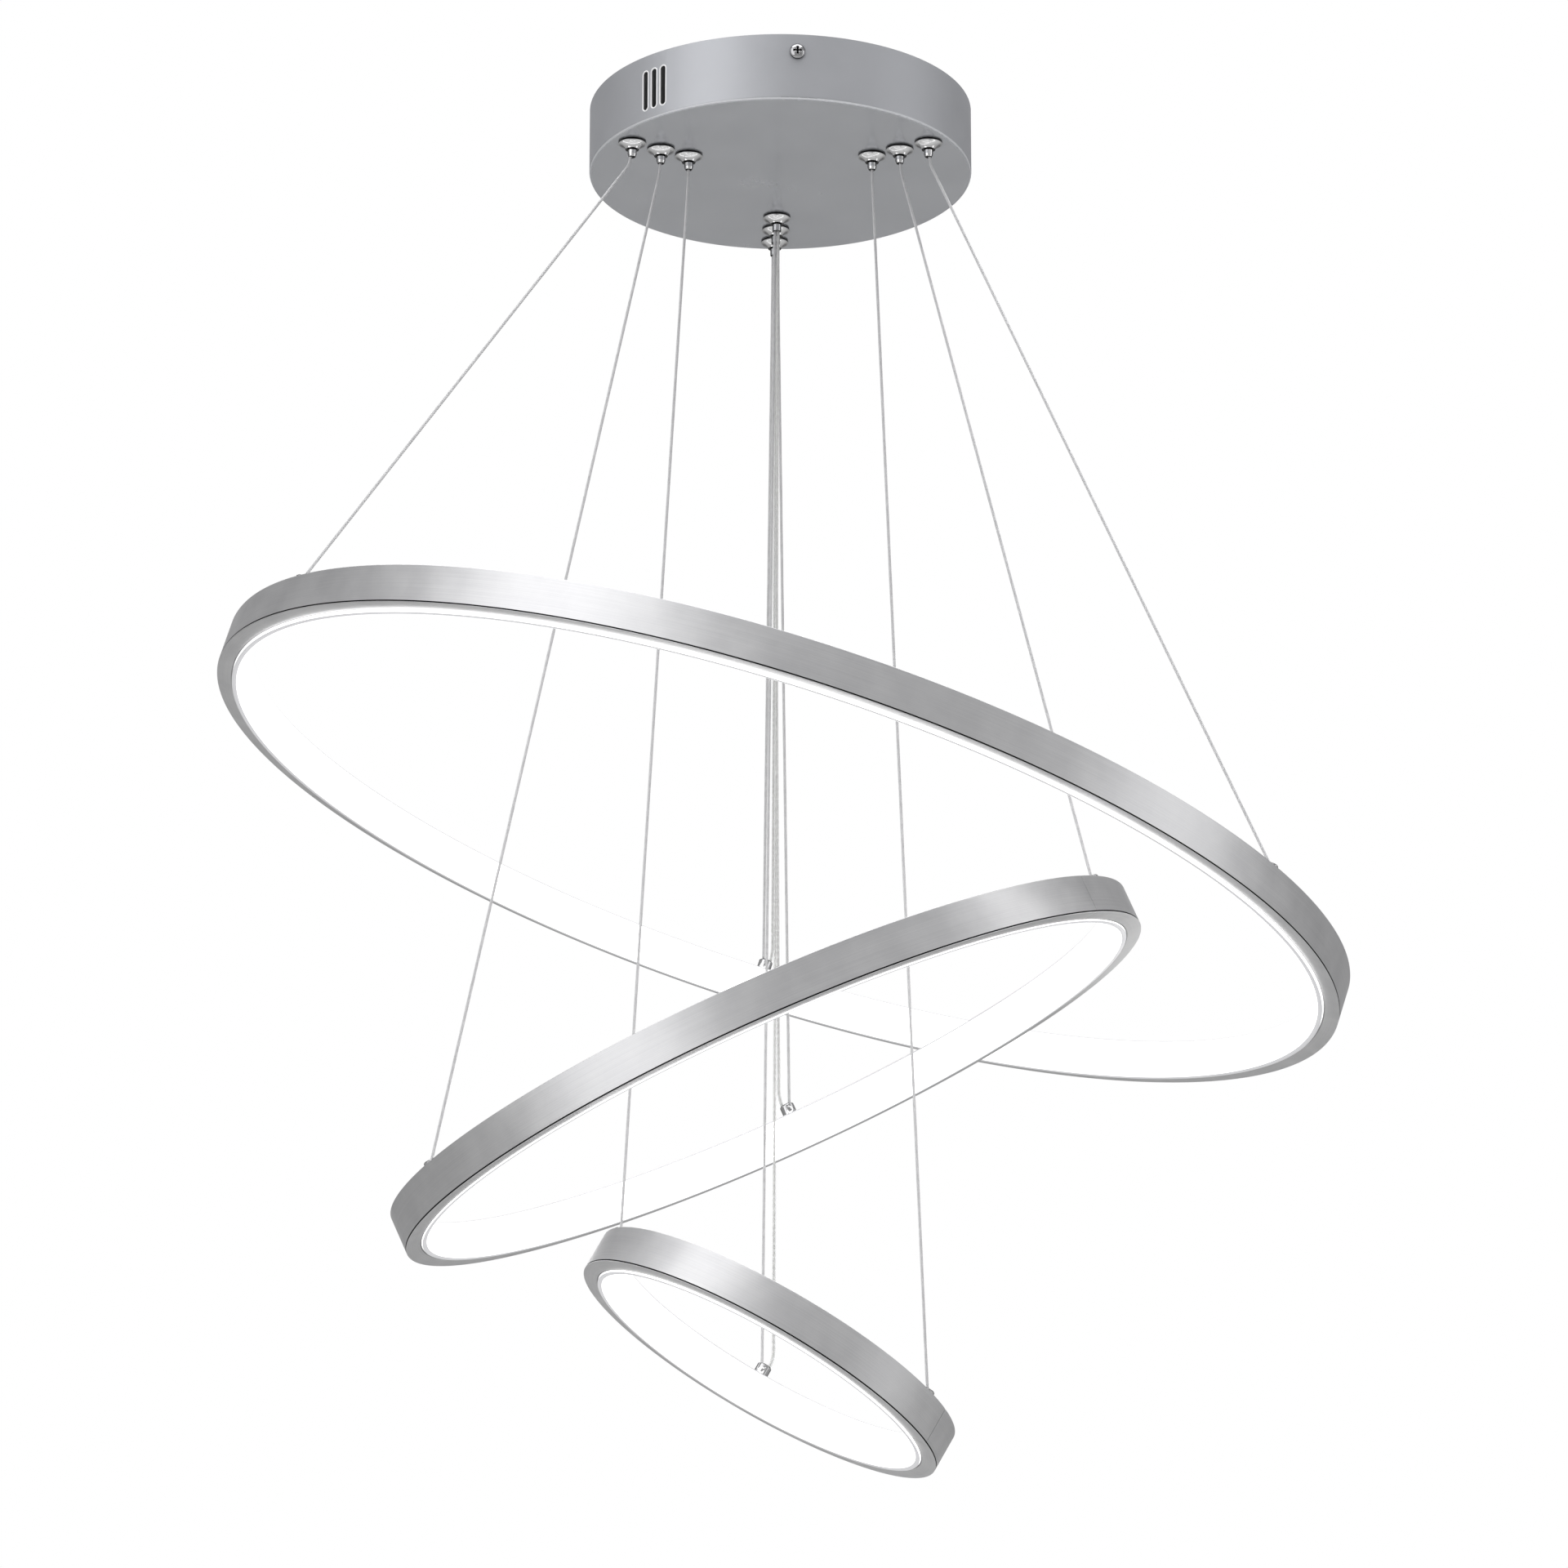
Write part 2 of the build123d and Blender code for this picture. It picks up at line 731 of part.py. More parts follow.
def make_driver():
    length, width, height = driver_size
    with BuildPart() as driver_pad:
        with BuildSketch(driver_plane(-pad_thickness)):
            RectangleRounded(length - 2 * pad_margin, width - 2 * pad_margin, driver_corner)
        extrude(amount=pad_thickness)
    save(driver_pad.part, "driver_pad")

    inner_length, inner_width = length - 2 * driver_wall, width - 2 * driver_wall
    inner_corner = driver_corner - driver_wall
    with BuildPart() as driver_case:
        with BuildSketch(driver_plane()):
            RectangleRounded(length, width, driver_corner)
        extrude(amount=height)
        with BuildSketch(driver_plane(driver_wall)):
            RectangleRounded(inner_length, inner_width, inner_corner)
        extrude(amount=height, mode=Mode.SUBTRACT)
        with BuildSketch(driver_plane(driver_wall)):
            with GridLocations(length - 2 * post_margin, width - 2 * post_margin, 2, 2):
                Circle(post_diameter / 2)
        extrude(amount=post_height)
        for at, hole in outlets() + inlets():
            with BuildSketch(Plane(origin=at, x_dir=(1, 0, 0), z_dir=(0, 1, 0))):
                Circle(hole / 2 + lead_hole_play)
            extrude(amount=2 * driver_wall, both=True, mode=Mode.SUBTRACT)
    save(driver_case.part, "driver_case")

    rim_length, rim_width = inner_length - 2 * lid_play, inner_width - 2 * lid_play
    with BuildPart() as driver_lid:
        with BuildSketch(driver_plane(height)):
            RectangleRounded(length, width, driver_corner)
        extrude(amount=lid_thickness)
        with BuildSketch(driver_plane(height)):
            RectangleRounded(rim_length, rim_width, inner_corner)
            Rectangle(rim_length - 2 * lid_rim, rim_width - 2 * lid_rim, mode=Mode.SUBTRACT)
        extrude(amount=-lid_rim)
    save(driver_lid.part, "driver_lid")

    board_level = driver_wall + post_height
    with BuildPart() as driver_board:
        with BuildSketch(driver_plane(board_level)):
            Rectangle(inner_length - 2 * board_margin, inner_width - 2 * board_margin)
        extrude(amount=board_thickness)
        top = driver_plane(board_level + board_thickness)
        with BuildSketch(top):
            with Locations(transformer_spot):
                Rectangle(transformer[0], transformer[1])
        extrude(amount=transformer[2])
        with BuildSketch(top):
            with Locations(*small_can_spots):
                Circle(small_can_diameter / 2)
            with Locations(large_can_spot):
                Circle(large_can_diameter / 2)
            with Locations(*coil_spots):
                Rectangle(*coil)
        extrude(amount=component_height)
    save(driver_board.part, "driver_board")


def outlets():
    """Where the three output leads leave the driver's far side, and their diameter."""
    level = floor + pad_thickness + outlet_level
    y = driver_middle_y + driver_size[1] / 2
    middle = lead_top("small").X
    across = (middle - outlet_pitch, middle, middle + outlet_pitch)
    return [(Vector(x, y, level), lead_diameter) for x in across]


def inlets():
    level = floor + pad_thickness + inlet_level
    y = driver_middle_y - driver_size[1] / 2
    return [(Vector(x, y, level), input_lead_diameter) for x in (-pole_pitch, pole_pitch)]


def make_output_leads():
    """Three insulated leads from the driver to the tops of the far grippers."""
    with BuildPart() as driver_output_leads:
        for size, (start, hole) in zip(("large", "small", "middle"), outlets()):
            top = lead_top(size)
            points = [start, Vector(top.X, top.Y, start.Z), top]
            radii = [output_bend]
            if size != "small":
                points.insert(1, Vector(start.X, top.Y - outlet_turn, start.Z))
                radii = [lead_bend, output_bend]
            tube(points, radii, lead_diameter)
    save(driver_output_leads.part, "driver_output_leads")


def make_terminal():
    length, width, height = terminal_size
    base = Plane(origin=(0, terminal_middle_y, floor))
    poles = (-pole_pitch, 0, pole_pitch)
    with BuildPart() as terminal_block:
        with BuildSketch(base):
            RectangleRounded(length, width, terminal_corner)
        extrude(amount=height)
        for x in poles:
            with BuildSketch(base.offset(height)):
                with Locations((x, 0)):
                    Circle(terminal_screw / 2 + terminal_well_play)
            extrude(amount=-terminal_well_depth, mode=Mode.SUBTRACT)
            way = Plane(origin=(x, terminal_middle_y, floor + pole_level), z_dir=(0, 1, 0))
            with BuildSketch(way):
                Circle(pole_hole / 2)
            extrude(amount=width / 2, both=True, mode=Mode.SUBTRACT)
    save(terminal_block.part, "terminal_block")

    slot_width, slot_depth = driver_slot
    with BuildPart() as terminal_screws:
        for x in poles:
            at = Plane(origin=(x, terminal_middle_y, floor + height - terminal_screw_drop))
            with BuildSketch(at):
                Circle(terminal_screw / 2)
            extrude(amount=-terminal_screw_length)
            with BuildSketch(at):
                Rectangle(terminal_screw, slot_width)
            extrude(amount=-slot_depth, mode=Mode.SUBTRACT)
    save(terminal_screws.part, "terminal_screws")

    with BuildPart() as driver_input_leads:
        for start, hole in inlets():
            block = Vector(start.X, terminal_middle_y + 2, floor + pole_level)
            face = Vector(start.X, terminal_middle_y + width / 2 + 3, block.Z)
            entry = Vector(start.X, start.Y - 3, start.Z)
            points = [block, face, entry, start + Vector(0, driver_wall, 0)]
            tube(points, [input_bend, input_bend], input_lead_diameter)
    save(driver_input_leads.part, "driver_input_leads")


make_canopy()
make_bracket()
make_side_screws()
make_earth_screw()
make_grippers()
make_plungers()
make_driver()
make_output_leads()
make_terminal()
for ring_size, ring_values in rings.items():
    make_profile(ring_size, ring_values)
    make_diffuser(ring_size, ring_values)
    make_strip(ring_size, ring_values)
    make_splice(ring_size, ring_values)
    make_anchors(ring_size, ring_values)
make_wires()
make_leads()
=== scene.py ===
# Three-ring LED pendant chandelier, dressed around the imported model. Metres, Z up.
import bpy
import bmesh
import json
import math
from mathutils import Matrix, Vector

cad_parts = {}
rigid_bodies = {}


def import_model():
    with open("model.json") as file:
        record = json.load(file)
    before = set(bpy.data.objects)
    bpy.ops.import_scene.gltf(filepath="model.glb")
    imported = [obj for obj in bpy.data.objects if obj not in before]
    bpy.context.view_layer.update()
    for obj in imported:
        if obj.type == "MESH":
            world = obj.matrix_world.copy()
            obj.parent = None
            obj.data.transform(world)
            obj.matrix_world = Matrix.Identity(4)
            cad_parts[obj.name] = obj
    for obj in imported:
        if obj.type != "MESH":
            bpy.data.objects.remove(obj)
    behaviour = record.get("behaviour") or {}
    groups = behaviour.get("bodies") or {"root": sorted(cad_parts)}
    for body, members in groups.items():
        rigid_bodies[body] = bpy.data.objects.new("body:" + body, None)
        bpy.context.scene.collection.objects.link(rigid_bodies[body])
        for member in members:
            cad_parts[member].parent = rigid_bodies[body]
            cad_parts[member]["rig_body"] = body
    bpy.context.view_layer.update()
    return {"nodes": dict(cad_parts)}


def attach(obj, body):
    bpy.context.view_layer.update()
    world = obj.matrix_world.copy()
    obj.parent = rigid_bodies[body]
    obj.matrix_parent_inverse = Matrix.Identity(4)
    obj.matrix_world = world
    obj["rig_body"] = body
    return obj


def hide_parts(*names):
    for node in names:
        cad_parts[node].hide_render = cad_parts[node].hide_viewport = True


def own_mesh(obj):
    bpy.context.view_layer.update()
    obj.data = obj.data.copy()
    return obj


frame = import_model()
scene = bpy.context.scene
scene.view_settings.view_transform = "Standard"  # keeps the photograph's clean whites
scene.view_settings.look = "None"

mm = 0.001

# the rings as they hang: the middle of each, its lean, and the side that is low
rings = {
    "large": {
        "radius": 300 * mm,
        "middle": (-0.2 * mm, 29 * mm, -389.9 * mm),
        "lean": 17.5,
        "lowSide": -3.0,
        "rowRadius": 88.5 * mm,  # of its grippers, in the canopy's floor
        "anchors": {"left": -148, "right": -33, "far": 92.5},  # degrees round the ring
        "seam": 150.0,
        "proud": 1.5 * mm,  # how far the opal insert stands below the lip
        "bandRough": (0.36, 0.43),  # of its brushed finish
        "steps": 300,
    },
    "middle": {
        "radius": 200 * mm,
        "middle": (-6.3 * mm, -25.5 * mm, -532.1 * mm),
        "lean": 24.5,
        "lowSide": -168.5,
        "rowRadius": 71.5 * mm,
        "anchors": {"left": -152.5, "right": -24, "far": 85},
        "seam": -31.0,
        "proud": 0.6 * mm,
        "bandRough": (0.36, 0.43),
        "steps": 240,
    },
    "small": {
        "radius": 100 * mm,
        "middle": (-5.7 * mm, -1 * mm, -668.9 * mm),
        "lean": 29.3,
        "lowSide": 1.7,
        "rowRadius": 55 * mm,
        "anchors": {"left": -159.5, "right": -29.5, "far": 96.5},
        "seam": -20.5,
        "proud": 0.9 * mm,
        "bandRough": (0.42, 0.50),
        "steps": 180,
    },
}
halfHeight = 10 * mm  # of a ring
sides = {"left": -150, "right": -30, "far": 92}  # where each side's grippers stand, in degrees

# the aluminium channel, open towards the ring's middle, where the opal insert closes it
section = {
    "width": 12 * mm,  # from the outer face to the insert's lit face
    "lip": 8.5 * mm,  # from the outer face to the channel's mouth
    "wall": 1.6 * mm,
    "grooveRise": 0.4 * mm,
    "grooveWidth": 0.7 * mm,
    "grooveDepth": 0.7 * mm,
    "edge": 0.3 * mm,
    "fineEdge": 0.06 * mm,  # on the groove and the seam
    "seamGap": 0.35 * mm,
}


def polar(radius, degrees, height=0.0):
    turn = math.radians(degrees)
    return Vector((radius * math.cos(turn), radius * math.sin(turn), height))


# from a ring's own frame, with Z through its middle, to where it hangs
def ringMatrix(size):
    ring = rings[size]
    lean = math.radians(ring["lean"])
    up = polar(math.sin(lean), ring["lowSide"], math.cos(lean))
    across = (Vector((1, 0, 0)) - up * up.x).normalized()
    turned = Matrix((across, up.cross(across), up)).transposed().to_4x4()
    return Matrix.Translation(ring["middle"]) @ turned


# the camera, as fitted to the photograph
view = {
    "place": (1.9 * mm, -3449.4 * mm, -1516.5 * mm),
    "tiltUp": 18.367,  # degrees above level
    "lens": 164.03,
    "sensor": 36.0,
    "near": 0.05,
    "far": 60.0,
}


def addCamera():
    data = bpy.data.cameras.new("camera")
    data.lens = view["lens"]
    data.sensor_width = view["sensor"]
    data.clip_start = view["near"]
    data.clip_end = view["far"]
    camera = bpy.data.objects.new("camera", data)
    camera.location = view["place"]
    camera.rotation_euler = (math.radians(90 + view["tiltUp"]), 0, 0)
    scene.collection.objects.link(camera)
    scene.camera = camera


addCamera()
print("camera placed")


def startGroup(name, inputs, outputs):
    tree = bpy.data.node_groups.new(name, "ShaderNodeTree")
    for label, kind, value in inputs:
        socket = tree.interface.new_socket(label, in_out="INPUT", socket_type=kind)
        if value is not None:
            socket.default_value = value
    for label, kind in outputs:
        tree.interface.new_socket(label, in_out="OUTPUT", socket_type=kind)
    return tree, tree.nodes.new("NodeGroupInput"), tree.nodes.new("NodeGroupOutput")


def addMath(tree, operation, first, second=None):
    node = tree.nodes.new("ShaderNodeMath")
    node.operation = operation
    for socket, value in zip(node.inputs, (first, second)):
        if isinstance(value, (int, float)):
            socket.default_value = value
        elif value is not None:
            tree.links.new(value, socket)
    return node.outputs[0]


lineShare = 0.45  # of the lines in the brushed tone; the rest is blotches
speckleFineness = 18.0  # against the patches of the handling marks
noiseRange = (0.28, 0.72)  # where most of a noise texture's values lie
bumpDepth = 0.05 * mm


def splitVector(tree, vector):
    parts = tree.nodes.new("ShaderNodeSeparateXYZ")
    tree.links.new(vector, parts.inputs[0])
    return parts.outputs


# distance from the Z axis, and height
def roundPlace(tree, vector):
    x, y, z = splitVector(tree, vector)
    squares = addMath(tree, "ADD", addMath(tree, "MULTIPLY", x, x), addMath(tree, "MULTIPLY", y, y))
    return addMath(tree, "SQRT", squares), z


# fine lines that run round the Z axis, with slow blotches in the tone
def makeBrushedGroup():
    tree, given, out = startGroup(
        "brushed lines round an axis",
        [
            ("Vector", "NodeSocketVector", None),
            ("Lines", "NodeSocketFloat", 2600.0),
            ("Along", "NodeSocketFloat", 14.0),
            ("Blotch", "NodeSocketFloat", 60.0),
        ],
        [("Height", "NodeSocketFloat"), ("Tone", "NodeSocketFloat")],
    )
    x, y, z = splitVector(tree, given.outputs["Vector"])
    radius = roundPlace(tree, given.outputs["Vector"])[0]
    joined = tree.nodes.new("ShaderNodeCombineXYZ")
    along = given.outputs["Along"]
    tree.links.new(addMath(tree, "MULTIPLY", x, along), joined.inputs[0])
    tree.links.new(addMath(tree, "MULTIPLY", y, along), joined.inputs[1])
    across = addMath(tree, "ADD", z, radius)
    tree.links.new(addMath(tree, "MULTIPLY", across, given.outputs["Lines"]), joined.inputs[2])
    lines = tree.nodes.new("ShaderNodeTexNoise")
    lines.inputs["Scale"].default_value = 1.0
    lines.inputs["Detail"].default_value = 3.0
    tree.links.new(joined.outputs[0], lines.inputs["Vector"])
    tree.links.new(lines.outputs[0], out.inputs["Height"])
    blotch = tree.nodes.new("ShaderNodeTexNoise")
    blotch.inputs["Detail"].default_value = 4.0
    tree.links.new(given.outputs["Vector"], blotch.inputs["Vector"])
    tree.links.new(given.outputs["Blotch"], blotch.inputs["Scale"])
    fine = addMath(tree, "MULTIPLY", lines.outputs[0], lineShare)
    slow = addMath(tree, "MULTIPLY", blotch.outputs[0], 1 - lineShare)
    tree.links.new(addMath(tree, "ADD", fine, slow), out.inputs["Tone"])
    return tree


# soft patches with a finer speckle
def makeSmudgeGroup():
    tree, given, out = startGroup(
        "handling marks",
        [("Vector", "NodeSocketVector", None), ("Scale", "NodeSocketFloat", 80.0)],
        [("Mask", "NodeSocketFloat"), ("Speckle", "NodeSocketFloat")],
    )
    patches = tree.nodes.new("ShaderNodeTexNoise")
    patches.inputs["Detail"].default_value = 5.0
    patches.inputs["Roughness"].default_value = 0.6
    tree.links.new(given.outputs["Vector"], patches.inputs["Vector"])
    tree.links.new(given.outputs["Scale"], patches.inputs["Scale"])
    tree.links.new(patches.outputs[0], out.inputs["Mask"])
    speckle = tree.nodes.new("ShaderNodeTexNoise")
    speckle.inputs["Detail"].default_value = 2.0
    tree.links.new(given.outputs["Vector"], speckle.inputs["Vector"])
    fineScale = addMath(tree, "MULTIPLY", given.outputs["Scale"], speckleFineness)
    tree.links.new(fineScale, speckle.inputs["Scale"])
    tree.links.new(speckle.outputs[0], out.inputs["Speckle"])
    return tree


brushedGroup = makeBrushedGroup()
smudgeGroup = makeSmudgeGroup()


def startMaterial(name):
    material = bpy.data.materials.new(name)
    material.use_nodes = True
    tree = material.node_tree
    return material, tree, tree.nodes["Principled BSDF"]


# object coordinates, or those of the frame that place leads out of
def objectVector(tree, place=None):
    mapping = tree.nodes.new("ShaderNodeMapping")
    if place is not None:
        mapping.vector_type = "TEXTURE"
        mapping.inputs["Location"].default_value = place.to_translation()
        mapping.inputs["Rotation"].default_value = place.to_euler()
    tree.links.new(tree.nodes.new("ShaderNodeTexCoord").outputs["Object"], mapping.inputs["Vector"])
    return mapping.outputs[0]


# one where both masks are one
def both(tree, first, second):
    return addMath(tree, "MULTIPLY", first, second)


def isOver(tree, value, low):
    return addMath(tree, "GREATER_THAN", value, low)


def isUnder(tree, value, high):
    return addMath(tree, "LESS_THAN", value, high)


def isBetween(tree, value, low, high):
    return both(tree, isOver(tree, value, low), isUnder(tree, value, high))


def placeGroup(tree, group, vector, **values):
    node = tree.nodes.new("ShaderNodeGroup")
    node.node_tree = group
    tree.links.new(vector, node.inputs["Vector"])
    for label, value in values.items():
        node.inputs[label].default_value = value
    return node


# a noise value's usual range, stretched between low and high
def spread(tree, value, low, high):
    node = tree.nodes.new("ShaderNodeMapRange")
    node.inputs["From Min"].default_value = noiseRange[0]
    node.inputs["From Max"].default_value = noiseRange[1]
    node.inputs["To Min"].default_value = low
    node.inputs["To Max"].default_value = high
    tree.links.new(value, node.inputs["Value"])
    return node.outputs["Result"]


def blendColours(tree, mask, dark, light):
    node = tree.nodes.new("ShaderNodeMix")
    node.data_type = "RGBA"
    for label, colour in (("A_Color", dark), ("B_Color", light)):
        socket = next(s for s in node.inputs if s.identifier == label)
        if isinstance(colour, tuple):
            socket.default_value = (*colour, 1)
        else:
            tree.links.new(colour, socket)
    tree.links.new(mask, node.inputs["Factor"])
    return next(s for s in node.outputs if s.identifier == "Result_Color")


def addBump(tree, shader, height, strength):
    bump = tree.nodes.new("ShaderNodeBump")
    bump.inputs["Strength"].default_value = strength
    bump.inputs["Distance"].default_value = bumpDepth
    tree.links.new(height, bump.inputs["Height"])
    tree.links.new(bump.outputs[0], shader.inputs["Normal"])


# lays a blend of two colours on one of the shader's colours
def setColour(tree, shader, mask, dark, light, label="Base Color"):
    tree.links.new(blendColours(tree, mask, dark, light), shader.inputs[label])


def setRoughness(tree, shader, value, low, high):
    tree.links.new(spread(tree, value, low, high), shader.inputs["Roughness"])


# blends a colour over what already feeds the shader's colour, where mask is 1
def paintOver(tree, shader, mask, colour, label="Base Color"):
    before = shader.inputs[label].links[0].from_socket
    setColour(tree, shader, mask, before, colour, label)


# paints a dark reflection on what turns away from the viewer, as round polished metal shows in a
# white room
def addContour(tree, shader, values):
    weight = tree.nodes.new("ShaderNodeLayerWeight")
    weight.inputs["Blend"].default_value = 0.5
    curve = tree.nodes.new("ShaderNodeMapRange")
    curve.interpolation_type = "SMOOTHSTEP"
    curve.inputs["From Min"].default_value = values["from"]
    curve.inputs["From Max"].default_value = values["to"]
    curve.inputs["To Max"].default_value = values["strength"]
    tree.links.new(weight.outputs["Facing"], curve.inputs["Value"])
    paintOver(tree, shader, curve.outputs["Result"], values["edge"])


def brushedMetal(name, values, place, outer):
    material, tree, shader = startMaterial(name)
    vector = objectVector(tree, place)
    lines = placeGroup(tree, brushedGroup, vector, Lines=values["lines"], Blotch=values["blotch"])
    tone = spread(tree, lines.outputs["Tone"], 0.0, 1.0)
    setColour(tree, shader, tone, values["dark"], values["light"])
    setRoughness(tree, shader, lines.outputs["Tone"], *values["rough"])
    shader.inputs["Metallic"].default_value = 1.0
    addBump(tree, shader, lines.outputs["Height"], values["bump"])
    radius, height = roundPlace(tree, vector)
    low = section["grooveRise"] - halfHeight
    high = low + section["grooveWidth"]
    deep = isBetween(tree, radius, outer - values["grooveTo"], outer - values["grooveFrom"])
    along = isBetween(tree, height, low - values["slack"], high + values["slack"])
    # painted shade in the groove near the foot of the outer face
    paintOver(tree, shader, both(tree, deep, along), values["grooveShade"])
    mouth = outer - section["lip"]
    beside = isBetween(tree, radius, mouth - values["slack"], mouth + values["shadowReach"])
    beneath = isUnder(tree, height, values["skin"] - halfHeight)
    paintOver(tree, shader, both(tree, beside, beneath), values["shadow"])
    return material


# paint, plating or plastic: small changes of tone and gloss, and a faint skin
def plainFinish(name, values):
    material, tree, shader = startMaterial(name)
    marks = placeGroup(tree, smudgeGroup, objectVector(tree), Scale=values["scale"])
    tone = spread(tree, marks.outputs["Mask"], 0.0, 1.0)
    setColour(tree, shader, tone, values["dark"], values["light"])
    setRoughness(tree, shader, marks.outputs["Mask"], *values["rough"])
    shader.inputs["Metallic"].default_value = values.get("metal", 0.0)
    addBump(tree, shader, marks.outputs["Speckle"], values["bump"])
    # painted dark reflection at the outline, for finishes that ask for it
    if "contour" in values:
        addContour(tree, shader, values["contour"])
    return material


bandFinish = {
    "lines": 2600.0,
    "blotch": 55.0,
    "dark": (0.60, 0.60, 0.615),
    "light": (0.74, 0.74, 0.75),
    "bump": 0.25,
    # painted shade in the groove
    "grooveShade": (0.03, 0.03, 0.032),
    "grooveFrom": 0.12 * mm,  # from the outer face
    "grooveTo": 1.2 * mm,
    "shadow": (0.30, 0.30, 0.31),  # on the lip, close beside the opal insert
    "shadowReach": 0.9 * mm,
    "slack": 0.1 * mm,  # past the groove's and the mouth's edges
    "skin": 0.05 * mm,  # of the lip's underside
}
# the painted dark reflection at the outline of round polished parts
rimReflection = {"from": 0.45, "to": 0.8, "strength": 0.9, "edge": (0.05, 0.05, 0.055)}
chromeFinish = {
    "dark": (0.72, 0.72, 0.73),
    "light": (0.86, 0.86, 0.87),
    "rough": (0.06, 0.16),
    "metal": 1.0,
    "scale": 160.0,
    "bump": 0.02,
    "contour": rimReflection,
}
finishes = {
    "canopy paint": {
        "dark": (0.50, 0.51, 0.54), "light": (0.54, 0.55, 0.58),
        "rough": (0.47, 0.53), "metal": 0.75, "scale": 30.0, "bump": 0.05,
    },
    "chrome": chromeFinish,
    "gripper chrome": chromeFinish,
    "plunger chrome": {**chromeFinish, "contour": {**rimReflection, "from": 0.22, "to": 0.55}},
    "screw chrome": {**chromeFinish, "dark": (0.34, 0.34, 0.35), "light": (0.50, 0.50, 0.51)},
    "anchor chrome": {**chromeFinish, "dark": (0.50, 0.50, 0.51), "light": (0.66, 0.66, 0.67)},
    "zinc plate": {
        "dark": (0.48, 0.49, 0.50), "light": (0.66, 0.67, 0.67),
        "rough": (0.30, 0.45), "metal": 1.0, "scale": 220.0, "bump": 0.10,
    },
    "steel rope": {
        "dark": (0.64, 0.64, 0.65), "light": (0.76, 0.76, 0.77),
        "rough": (0.42, 0.55), "metal": 0.6, "scale": 300.0, "bump": 0.05,
    },
    "vent lip highlight": {
        "dark": (0.92, 0.92, 0.93), "light": (0.97, 0.97, 0.98),
        "rough": (0.35, 0.45), "scale": 300.0, "bump": 0.05,
    },
    "tinned copper": {
        "dark": (0.55, 0.54, 0.53), "light": (0.75, 0.74, 0.73),
        "rough": (0.25, 0.35), "metal": 1.0, "scale": 300.0, "bump": 0.05,
    },
    "white plastic": {
        "dark": (0.74, 0.74, 0.72), "light": (0.84, 0.84, 0.83),
        "rough": (0.38, 0.50), "scale": 60.0, "bump": 0.10,
    },
    "pad foam": {
        "dark": (0.02, 0.02, 0.02), "light": (0.05, 0.05, 0.05),
        "rough": (0.80, 0.95), "scale": 300.0, "bump": 0.60,
    },
    "circuit board": {
        "dark": (0.01, 0.09, 0.035), "light": (0.03, 0.17, 0.07),
        "rough": (0.25, 0.35), "scale": 200.0, "bump": 0.10,
    },
    "strip film": {
        "dark": (0.80, 0.80, 0.78), "light": (0.90, 0.90, 0.88),
        "rough": (0.35, 0.45), "scale": 150.0, "bump": 0.05,
    },
    "red sleeve": {
        "dark": (0.38, 0.015, 0.01), "light": (0.55, 0.03, 0.02),
        "rough": (0.30, 0.42), "scale": 150.0, "bump": 0.05,
    },
    "brown sleeve": {
        "dark": (0.09, 0.03, 0.012), "light": (0.16, 0.06, 0.025),
        "rough": (0.30, 0.42), "scale": 150.0, "bump": 0.05,
    },
    "brass": {
        "dark": (0.55, 0.38, 0.12), "light": (0.74, 0.54, 0.22),
        "rough": (0.22, 0.36), "metal": 1.0, "scale": 260.0, "bump": 0.05,
    },
}
materials = {name: plainFinish(name, values) for name, values in finishes.items()}
for ringName, ring in rings.items():
    values = {**bandFinish, "rough": ring["bandRough"]}
    materials["band " + ringName] = brushedMetal(
        "brushed band " + ringName, values, ringMatrix(ringName), ring["radius"]
    )

opal = {
    "colour": (0.95, 0.95, 0.94),
    "shade": (0.90, 0.90, 0.89),
    "dim": (1.45, 1.44, 1.43),
    "bright": (1.75, 1.74, 1.72),
    "rough": (0.42, 0.5),
    "scale": 14.0,
    "edgeShade": (0.34, 0.34, 0.35),
    "edgeShadeGlow": (0.40, 0.40, 0.41),
    "rim": 8.5 * mm,  # from the ring's middle plane, where the upper rounded edge begins to dim
    "rimReach": 1.3 * mm,
    "foot": 0.08 * mm,  # this much of the foot dims, from its flat underside up
}


# Lit opal plastic. Its light is a little uneven along the ring, and painted shade dims its upper
# edge and its foot.
def opalGlow(size):
    material, tree, shader = startMaterial("lit opal " + size)
    vector = objectVector(tree, ringMatrix(size))
    marks = placeGroup(tree, smudgeGroup, vector, Scale=opal["scale"])
    tone = spread(tree, marks.outputs["Mask"], 0.0, 1.0)
    setColour(tree, shader, tone, opal["dim"], opal["bright"], "Emission Color")
    setColour(tree, shader, tone, opal["shade"], opal["colour"])
    setRoughness(tree, shader, marks.outputs["Mask"], *opal["rough"])
    shader.inputs["Emission Strength"].default_value = 1.0
    radius, height = roundPlace(tree, vector)
    face = rings[size]["radius"] - section["width"]
    rim = both(
        tree,
        isUnder(tree, radius, face + opal["rimReach"]),
        isOver(tree, height, opal["rim"]),
    )
    foot = opal["foot"] - halfHeight - rings[size]["proud"]
    edge = addMath(tree, "ADD", rim, isUnder(tree, height, foot))
    # painted shade on the upper edge and the foot
    paintOver(tree, shader, edge, opal["edgeShade"])
    paintOver(tree, shader, edge, opal["edgeShadeGlow"], "Emission Color")
    return material


phosphor = {
    "dark": (0.8, 0.62, 0.2),
    "light": (0.9, 0.78, 0.4),
    "dim": (1.8, 1.7, 1.5),
    "bright": (2.2, 2.1, 1.9),
    "rough": (0.2, 0.3),
    "scale": 400.0,
}


